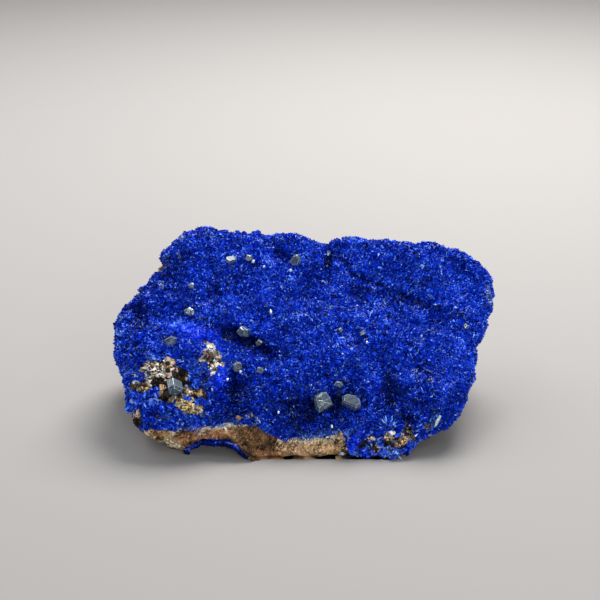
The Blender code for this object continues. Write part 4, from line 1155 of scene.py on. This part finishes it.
def rock_material():
    """Sandy, iron-stained rock: golden brown with rust, cream and black patches."""
    nodes = Nodes("iron_stained_rock")
    grain = nodes.cloud(1500.0, 3.0, 0.7)
    patches = nodes.spread(nodes.cloud(230.0, 5.0, 0.65), 0.25, 0.75, -0.15, 0.60)
    level = nodes.sum_of(patches, nodes.spread(grain, 0.2, 0.8, -0.10, 0.20))
    level = nodes.sum_of(level, nodes.spread(nodes.value("tone", "Fac"), 0.0, 1.0, -0.38, 0.56))
    brown = nodes.ramp(level, [
        (0.0, (0.012, 0.008, 0.006)), (0.22, (0.060, 0.031, 0.015)), (0.48, (0.20, 0.11, 0.050)),
        (0.74, (0.40, 0.26, 0.135)), (1.0, (0.68, 0.57, 0.42)),
    ])
    nodes.stain_over(brown, level, [
        (0.05, (0.03, 0.022, 0.020)), (0.34, (0.46, 0.42, 0.38)), (0.66, (1.0, 1.0, 1.0)),
    ])
    nodes.join(nodes.spread(nodes.cloud(900.0, 2.0), 0.3, 0.7, 0.60, 0.95), "Roughness")
    nodes.set(Specular_IOR_Level=0.20)
    bump = nodes.add("ShaderNodeBump", Strength=0.6, Distance=0.00025)
    nodes.join(grain, bump.inputs["Height"])
    nodes.join(bump.outputs["Normal"], "Normal")
    return nodes.material


def calcite_material():
    """Grey, slightly milky calcite that lets the blue below show through, frosted on its edges."""
    nodes = Nodes("grey_calcite")
    frost = nodes.value("frost", "Fac")
    haze = nodes.ramp(nodes.cloud(1100.0, 4.0, 0.7), [
        (0.30, (0.08, 0.15, 0.23)), (0.45, (0.18, 0.29, 0.38)), (0.53, (0.46, 0.58, 0.68)),
        (0.62, (0.12, 0.22, 0.30)),
    ])
    nodes.join(nodes.mix(frost, haze, (0.28, 0.40, 0.50, 1.0)), "Base Color")
    nodes.join(nodes.spread(frost, 0.0, 1.0, 0.16, 0.50), "Roughness")
    nodes.set(IOR=CALCITE_IOR, Transmission_Weight=0.85, Specular_IOR_Level=0.30)
    return nodes.material


def satin_material(name, dark, light):
    """Satin crystal, clouded between two colours."""
    nodes = Nodes(name)
    nodes.join(nodes.ramp(nodes.cloud(1400.0, 3.0), [(0.35, dark), (0.65, light)]), "Base Color")
    nodes.set(Roughness=0.32, IOR=CALCITE_IOR)
    return nodes.material


def crystal_values(places, table, draw, level):
    """The tone and the stain of crystals at their places; the tone holds painted light and shade, the stains
    painted sparkle.
    """
    count = len(places)
    u, v, _ = leaning(places)
    sparkling = PAINTED_SPARKLE_AND_PALE * (1.0 + PAINTED_SPARKLE_AND_PALE_LOWER * smoothstep(*PAINTED_SPARKLE_AND_PALE_LOW, v))
    sparkling += PAINTED_SPARKLE_AND_PALE_BROKEN * broken(places)
    tone = level + TONE_SPREAD * draw.normal(size=count) + FINE_TONE * smooth_noise(places, *FINE_TONES)
    # The broad changes of tone paint shade in the hollows and light on lit ridges.
    tone += BROAD_TONE * smooth_noise(places, *BROAD_TONES) + LIGHT_AND_SHADE_STRENGTH * form_heights(CRUST_LIGHT_AND_SHADE, u, v)
    stain = stained(places, table, BLUE_STAIN_EDGES)
    stain[:, 3] *= draw.uniform(*STAIN_STRENGTH, count)
    # Pale blue and ice coloured crystals are partly pale crystals and partly painted sparkle; the ice ones
    # are painted glints.
    painted_sparkle_and_pale = (draw.random(count) < sparkling) & (stain[:, 3] < UNSTAINED)
    ice_glint = draw.random((painted_sparkle_and_pale.sum(), 1)) < ICE_GLINT_SHARE
    stain[painted_sparkle_and_pale, :3] = np.where(ice_glint, COLOURS["ice"], COLOURS["powder blue"])
    stain[painted_sparkle_and_pale, 3] = draw.uniform(*PAINTED_SPARKLE_AND_PALE_STRENGTH, painted_sparkle_and_pale.sum())
    return {"tone": np.clip(tone, 0.0, 1.0), "stain": stain}


def on_points(values):
    """Values for new_piece, one at each point."""
    return {key: ("POINT", numbers) for key, numbers in values.items()}


def grown_crystals(places, outwards, size, table, level, draw):
    """Crystals of all kinds at places, sunk at their feet: what crystal_batch takes."""
    count = len(places)
    kinds = draw.choice(len(CRYSTAL_SHAPES), size=count, p=CRYSTAL_SHARES)
    spread = np.column_stack([draw.uniform(low, high, count) for low, high in CRYSTAL_SPREADS])
    own_size = size * np.exp(draw.normal(scale=CRYSTAL_SIZE_SPREAD, size=count))
    sizes = own_size[:, None] * CRYSTAL_FORMS[kinds] * spread
    frames = turned_frames(outwards, CRYSTAL_TILT[kinds, None], draw)
    values = crystal_values(places, table, draw, level)
    # The needles' added tone is partly a painted highlight.
    values["tone"] = values["tone"] + CRYSTAL_TONE_AND_HIGHLIGHT[kinds]
    return places - frames[:, 2] * (CRYSTAL_SUNK * sizes[:, 2])[:, None], frames, sizes, kinds, values


def crystals_piece(name, grown, azurite, draw):
    """Small azurite crystals as one piece, from what grown_crystals gives."""
    points, faces, values = crystal_batch(CRYSTAL_SHAPES, *grown, draw, CRYSTAL_FACE_TONES_AND_REFLECTIONS)
    new_piece(name, points, faces, [azurite], smooth=False, values=values)


def make_druse(shell_points, shell_top, cleared, azurite, draw):
    """The azurite crystals, grown together, in pieces side by side."""
    places, outwards = random_places(shell_points, shell_top, CRYSTALS, draw)
    free = np.ones(CRYSTALS, bool)
    for middle, radius in cleared:
        free &= np.linalg.norm(places - middle, axis=1) > radius
    places, outwards = places[free], outwards[free]
    size = CRYSTAL_SIZE * (1.0 + PATCHY_SIZE * smooth_noise(places, *DRUSE_PATCHES))
    size *= 1.0 + BROKEN_SIZE * broken(places)
    *grown, values = grown_crystals(places, outwards, size, CRUST_STAINS, DRUSE_LEVEL, draw)
    rank = np.argsort(np.argsort(grown[0][:, 0]))
    column = rank * DRUSE_PIECES // len(rank)
    for number in range(DRUSE_PIECES):
        here = column == number
        part = [numbers[here] for numbers in grown]
        part.append({key: numbers[here] for key, numbers in values.items()})
        crystals_piece(f"azurite_druse_{number + 1}", part, azurite, draw)


def make_specks(points, normals, quads, cover, azurite, draw):
    """Scattered small azurite crystals on the bare rock of the sides and the back."""
    bare = quads[cover[quads].max(axis=1) < SPECK_BARE]
    middles = points[bare].mean(axis=1)
    behind = normals[bare].mean(axis=1) @ OUT < 0.0
    patchy = smoothstep(*SPECK_SHARE, smooth_noise(middles, *SPECK_PATCHES))
    patchy *= (middles[:, 2] > SPECK_FOOT) * behind
    places, outwards = random_places(points, bare, SPECKS, draw, patchy)
    grown = grown_crystals(places, outwards, CRYSTAL_SIZE, [], DRUSE_LEVEL, draw)
    crystals_piece("azurite_specks", grown, azurite, draw)


def make_grains(points, normals, quads, cover, rock, draw):
    """Sugary grains and fragments on the bare rock."""
    bare = quads[cover[quads].mean(axis=1) < GRAIN_COVER]
    outwards, middles = normals[bare].mean(axis=1), points[bare].mean(axis=1)
    at_front, below, elsewhere = GRAIN_WEIGHTS
    weights = np.where(outwards[:, 2] < GRAIN_UNDER, below, elsewhere)
    weights = np.where(outwards @ OUT > GRAIN_FACING, at_front, weights)
    weights *= (middles[:, 2] > GRAIN_FOOT) * (1.0 + GRAINS_BROKEN * broken(middles))
    places, outwards = random_places(points, bare, GRAINS, draw, weights)
    crumbs = broken(places)
    kinds = (draw.random(GRAINS) < FRAGMENT_SHARES[0] + FRAGMENT_SHARES[1] * crumbs).astype(int)
    size = GRAIN_SIZE * np.exp(draw.normal(scale=GRAIN_SIZE_SPREAD, size=GRAINS))
    size *= np.where(kinds == 1, FRAGMENT_SIZE, 1.0)
    sizes = size[:, None] * draw.uniform(*GRAIN_SPREAD, (GRAINS, 3))
    frames = turned_frames(outwards, 1.0, draw)
    stain = stained(places, ROCK_STAINS, ROCK_STAIN_EDGES)
    stain[:, 3] *= draw.uniform(*GRAIN_STRENGTH, GRAINS)
    # Grains stained black in the holes are painted shade there and are not mixed.
    in_shaded_hole = stain[:, :3].max(axis=1) < SHADED_HOLE_COLOUR
    mixed = np.flatnonzero((draw.random(GRAINS) < MIXED_SHARE * crumbs) & ~in_shaded_hole)
    colours = np.array([COLOURS[key] for key in MIXED_GRAINS])
    stain[mixed, :3] = colours[draw.integers(len(MIXED_GRAINS), size=len(mixed))]
    stain[mixed, 3] = 1.0
    plain, more, level = GRAIN_TONES
    tone = (plain + more * crumbs) * draw.beta(GRAIN_CONTRAST, GRAIN_CONTRAST, GRAINS)
    tone += level * (1.0 - crumbs)
    mesh_points, faces, values = crystal_batch((GRAIN, FRAGMENT), places, frames, sizes, kinds,
                                               {"tone": tone, "stain": stain}, draw, GRAIN_FACE_TONES)
    new_piece("rock_grains", mesh_points, faces, [rock], smooth=False, values=values)


def make_lining(azurite, draw):
    """The thin crust that lines the arch, with its own crystals, toned dark as painted shade, with painted
    highlights on its edge.
    """
    count = LINING_STEPS + 1
    rings = []
    for y in np.linspace(LINING_FRONT, ARCH_BACK, LINING_LENGTHS):
        rings.append(arch_ring(ARCH_CRUST, y, LINING_STEPS) + arch_ring(0.0, y, LINING_STEPS)[::-1])
    points = np.array(rings).reshape(-1, 3)
    around = 2 * count
    lower = np.arange(around)
    ring = np.column_stack([lower, lower + around, (lower + 1) % around + around, (lower + 1) % around])
    wall = np.concatenate([ring + around * i for i in range(LINING_LENGTHS - 1)])
    i = np.arange(LINING_STEPS)
    front = np.column_stack([i, i + 1, around - 2 - i, around - 1 - i])
    back = front[:, ::-1] + around * (LINING_LENGTHS - 1)
    quads = np.concatenate([wall, front, back])
    normals = point_normals(points, quads)
    inner = np.tile(lower >= count, LINING_LENGTHS)
    ragged = bumps(points, LINING_BUMPS)
    points += normals * (ragged * np.where(inner, 1.0, LINING_ROUGH_BACK))[:, None]
    points[:around, 1] += LINING_ROUGH_END * ragged[:around]
    points[:, 2] = np.maximum(points[:, 2], LOWEST)
    new_piece("arch_lining", points, [quads], [azurite], ["azurite_under_crust"],
              values=on_points(crystal_values(points, [], draw, SHADED_LINING_SHELL_LEVEL)))
    shown = np.concatenate([quads[inner[quads].all(axis=1)], front])
    places, outwards = random_places(points, shown, LINING_CRYSTALS, draw)
    size = LINING_CRYSTAL_SHARE * CRYSTAL_SIZE
    grown = grown_crystals(places, outwards, size, ARCH_STAINS, SHADED_LINING_LEVEL, draw)
    crystals_piece("arch_lining_crystals", grown, azurite, draw)


def cut_block(size, sides, draw, edge=EDGE_WIDTH, outline=None):
    """An uneven prism with a chamfered top; each flat face has a material number of its own."""
    length, width, height = size
    if outline:
        outline, sides = [Vector((*point, 0.0)) for point in outline], len(outline)
    else:
        outline = []
        for i in range(sides):
            angle = math.tau * (i + draw.uniform(-CORNER_TURN, CORNER_TURN)) / sides
            reach = 0.5 * draw.uniform(*CORNER_REACH)
            outline.append(Vector((length * reach * math.cos(angle), width * reach * math.sin(angle), 0.0)))
    slope = draw.uniform(-TOP_SLOPE, TOP_SLOPE, 2)
    block = bmesh.new()
    rings = []
    for share, level in ((FOOT_SHARE, -0.5), (1.0, 0.5 - CHAMFER[0]), (1.0 - CHAMFER[1], 0.5)):
        ring = []
        for point in outline:
            share = 1.0 - (1.0 - share) * draw.uniform(*RING_SPREAD)
            jitter = Vector(draw.uniform(-CORNER_JITTER, CORNER_JITTER, 3)) * length
            lean = slope[0] * point.x + slope[1] * point.y if level > 0.0 else 0.0
            corner = Vector((point.x * share, point.y * share, level * height + lean))
            ring.append(block.verts.new(corner + jitter))
        rings.append(ring)
    block.faces.new(rings[0][::-1])
    block.faces.new(rings[2]).material_index = TOP_FACE
    for lower, upper in zip(rings, rings[1:]):
        for i in range(sides):
            j = (i + 1) % sides
            block.faces.new((lower[i], lower[j], upper[j], upper[i])).material_index = len(block.faces)
    if edge:
        bmesh.ops.bevel(block, geom=block.edges[:] + block.verts[:], offset=edge * min(size), segments=1,
                        affect="EDGES", clamp_overlap=True, material=EDGE_FACE)
    bmesh.ops.triangulate(block, faces=block.faces[:])
    bmesh.ops.recalc_face_normals(block, faces=block.faces[:])
    return block


def block_arrays(block, seat):
    """Points and triangles of a block at its seat, and the number of the flat face of each triangle."""
    block.transform(seat)
    block.verts.index_update()
    points = np.array([vert.co[:] for vert in block.verts])
    triangles = np.array([[vert.index for vert in face.verts] for face in block.faces])
    numbers = np.array([face.material_index for face in block.faces])
    block.free()
    # The bevel's order of points and faces is not the same in every run, so they are put in one of their own.
    order = np.lexsort(points.T)
    triangles = np.argsort(order)[triangles]
    turns = (triangles.argmin(axis=1)[:, None] + np.arange(3)) % 3
    triangles = np.take_along_axis(triangles, turns, axis=1)
    lines = np.lexsort(triangles.T)
    return points[order], triangles[lines], numbers[lines]


def on_surface(tree, place):
    """The point and the normal of the fine surface that lies behind a place, seen along OUT."""
    point, normal, _, _ = tree.ray_cast(Vector(place + OUT * DRAWN_FRONT), Vector(-OUT))
    return point, normal


def calcite_seats(tree):
    """For each grey crystal, its seat on the fine surface, near its node's middle."""
    seats = []
    for number, (_, _, height, turn, tilt, _) in enumerate(GREY_CRYSTALS, 1):
        corners = np.array(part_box(f"calcite_crystal_{number:02d}")) / MM
        middle = corners.mean(axis=0) + MIDDLE
        surface, normal = on_surface(tree, middle)
        outward = (normal * 2.0 + Vector(OUT)).normalized()
        gap = (Vector(middle) - surface).dot(outward)
        lift = min(max(gap, SEAT_LIFT[0] * height), SEAT_LIFT[1] * height)
        seat = Matrix.Translation(Vector(middle) + outward * (lift - gap))
        seat @= outward.to_track_quat("Z", "Y").to_matrix().to_4x4()
        seat @= Matrix.Rotation(math.radians(turn), 4, "Z") @ Matrix.Rotation(math.radians(tilt), 4, "X")
        seats.append(seat)
    return seats


def make_calcites(seats, calcites, draw):
    """The grey crystals as uneven blocks, each in place of its node; each flat face has its own frost."""
    for number, (seat, row) in enumerate(zip(seats, GREY_CRYSTALS), 1):
        block = cut_block(row[:3], row[5], draw, outline=BIG_OUTLINES.get(number))
        points, triangles, numbers = block_arrays(block, seat)
        frost = draw.uniform(0.0, FACE_FROST, EDGE_FACE + 1) ** 2
        frost[EDGE_FACE] = EDGE_FROST
        piece = new_piece(f"calcite_{number:02d}", points, [triangles], calcites,
                          [f"calcite_crystal_{number:02d}"], smooth=False,
                          values={"frost": ("FACE", frost[numbers])})
        piece.data.polygons.foreach_set("material_index", (numbers == EDGE_FACE).astype(np.int32))


def make_glints(tree, white, draw):
    """Small white crystals whose flat faces catch the light, their white partly a painted highlight, joined
    in one piece.
    """
    camera = FRAME_ZERO - MIDDLE + OUT * CAMERA_AWAY
    parts, start = [], 0
    for u, v, length, width in GLINTS:
        surface, _ = on_surface(tree, upright(u, v, 0.0))
        here = np.array(surface) - MIDDLE
        to_light = Vector(np.array(KEY_PLACE) / MM - here).normalized()
        face_on = (to_light + Vector(camera - here).normalized()).normalized()
        seat = Matrix.Translation(surface + Vector(OUT) * GLINT_LIFT)
        seat @= face_on.to_track_quat("Z", "Y").to_matrix().to_4x4()
        seat @= Matrix.Rotation(draw.uniform(0.0, math.tau), 4, "Z")
        size = (GLINT_SHARES[0] * length, GLINT_SHARES[1] * width, GLINT_HEIGHT)
        points, triangles, _ = block_arrays(cut_block(size, GLINT_SIDES, draw, 0.0), seat)
        parts.append((points, triangles + start))
        start += len(points)
    points, triangles = (np.concatenate(group) for group in zip(*parts))
    new_piece("white_glint_crystals", points, [triangles], [white], smooth=False)


def make_blades(tree, azurite, pale, draw):
    """The fan of pale blue blades, partly painted highlights, and the long white crystal of the lower right.
    """
    angles = np.radians(draw.uniform(*FAN_TURN, FAN_BLADES))
    root_u, root_v = FAN_ROOT
    away = draw.uniform(*FAN_REACH, FAN_BLADES)
    places, frames = [], []
    for angle, distance in zip(angles, away):
        u = root_u + distance * math.cos(angle) + draw.uniform(-FAN_JITTER, FAN_JITTER)
        v = root_v + distance * math.sin(angle) + draw.uniform(-FAN_JITTER, FAN_JITTER)
        surface, normal = on_surface(tree, upright(u, v, 0.0))
        run = ACROSS * math.cos(angle) + CLIMB * math.sin(angle) + OUT * draw.uniform(*FAN_LEAN)
        run = Vector(run).normalized()
        side = run.cross(normal).normalized()
        places.append(surface - run * BLADE_SUNK)
        frames.append((side, run.cross(side), run))
    sizes = np.column_stack([draw.uniform(low, high, FAN_BLADES) for low, high in BLADE_SIZES])
    stain = np.tile((*COLOURS["powder blue"], 1.0), (FAN_BLADES, 1))
    stain[:, 3] = draw.uniform(0.0, BLADE_PALENESS_AND_HIGHLIGHTS, FAN_BLADES)
    values = {"tone": draw.uniform(*BLADE_TONES_AND_HIGHLIGHTS, FAN_BLADES), "stain": stain}
    points, faces, on_faces = crystal_batch((CHISEL,), np.array(places), np.array(frames), sizes,
                                            np.zeros(FAN_BLADES, int), values, draw, BLADE_FACE_TONES)
    new_piece("azurite_blades", points, faces, [azurite], smooth=False, values=on_faces)
    u, v, length, width, turn = WHITE_PRISM
    surface, _ = on_surface(tree, upright(u, v, 0.0))
    basis = Matrix((ACROSS, CLIMB, OUT)).transposed().to_4x4()
    seat = Matrix.Translation(surface + Vector(OUT) * PRISM_LIFT) @ basis
    seat @= Matrix.Rotation(math.radians(turn), 4, "Z")
    points, triangles, _ = block_arrays(cut_block((width, length, PRISM_HEIGHT), PRISM_SIDES, draw), seat)
    new_piece("white_prism", points, [triangles], [pale], smooth=False)


def make_camera():
    """The camera at the photograph's viewing angle."""
    camera = bpy.data.objects.new("camera", bpy.data.cameras.new("camera"))
    camera.data.lens = CAMERA_LENS
    camera.data.sensor_width = CAMERA_SENSOR
    camera.location = Vector((FRAME_ZERO - MIDDLE + OUT * CAMERA_AWAY) * MM)
    camera.rotation_euler = Vector(-OUT).to_track_quat("-Z", "Y").to_euler()
    camera.data.clip_start = CAMERA_NEAREST
    bpy.context.scene.collection.objects.link(camera)
    bpy.context.scene.camera = camera


def area_light(name, place, size, power, colour):
    """A square area light that looks at the specimen."""
    light = bpy.data.lights.new(name, "AREA")
    light.size = size
    light.energy = power
    light.color = colour
    thing = bpy.data.objects.new(name, light)
    thing.location = Vector(place)
    thing.rotation_euler = (Vector(LIGHTS_AIM) - Vector(place)).to_track_quat("-Z", "Y").to_euler()
    bpy.context.scene.collection.objects.link(thing)


def make_studio():
    """A plain pale floor and soft light from above, behind and in front, with three small lights."""
    mesh = bpy.data.meshes.new("floor")
    corners = [(x * FLOOR_HALF, y * FLOOR_HALF, 0.0) for x, y in ((-1, -1), (1, -1), (1, 1), (-1, 1))]
    mesh.from_pydata(corners, [], [(0, 1, 2, 3)])
    floor = bpy.data.objects.new("floor", mesh)
    bpy.context.scene.collection.objects.link(floor)
    board = Nodes("pale_board")
    board.set(Base_Color=(*FLOOR_COLOUR, 1.0), Roughness=0.9)
    mesh.materials.append(board.material)
    for row in LIGHTS:
        area_light(*row)
    world = bpy.data.worlds.new("studio")
    world.use_nodes = True
    background = world.node_tree.nodes["Background"]
    background.inputs["Color"].default_value = (*SKY[0], 1.0)
    background.inputs["Strength"].default_value = SKY[1]
    bpy.context.scene.world = world
    bpy.context.scene.view_settings.view_transform = "Standard"


def main():
    """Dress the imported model."""
    make_camera()
    make_studio()
    azurite, rock, calcite = azurite_material(), rock_material(), calcite_material()
    frosted, pale, white = (satin_material(*row) for row in SATINS)
    draw = np.random.default_rng(DRAW_SEED)
    points, normals, quads, cover = shaped_body()
    # The rock between the grains is darker where broken, as painted shade in the gaps between them.
    level, change, shade_between_grains = ROCK_LEVELS
    tone = level + change * smooth_noise(points, *ROCK_TONES) - shade_between_grains * broken(points)
    rock_values = {"tone": np.clip(tone, 0.0, 1.0), "stain": stained(points, ROCK_STAINS, ROCK_STAIN_EDGES)}
    new_piece("rock_body", points, [quads], [rock], ["matrix_rock"], values=on_points(rock_values))
    shell_points, shell_top, shell_inner = crust_shell(points, normals, quads, cover)
    shell_values = crystal_values(shell_points, CRUST_STAINS, draw, SHELL_LEVEL)
    new_piece("crust_body", shell_points, [np.concatenate([shell_top, shell_inner])], [azurite],
              ["azurite_crust"], values=on_points(shell_values))
    all_points = np.concatenate([points, shell_points])
    all_quads = np.concatenate([quads, shell_top + len(points)])
    tree = BVHTree.FromPolygons(all_points.tolist(), all_quads.tolist())
    seats = calcite_seats(tree)
    cleared = [(np.array(seat.translation), CLEARED * (row[0] + row[1]) * 0.5)
               for seat, row in zip(seats, GREY_CRYSTALS)]
    make_druse(shell_points, shell_top, cleared, azurite, draw)
    make_specks(points, normals, quads, cover, azurite, draw)
    make_grains(points, normals, quads, cover, rock, draw)
    make_lining(azurite, draw)
    make_calcites(seats, (calcite, frosted), draw)
    make_glints(tree, white, draw)
    make_blades(tree, azurite, pale, draw)


main()
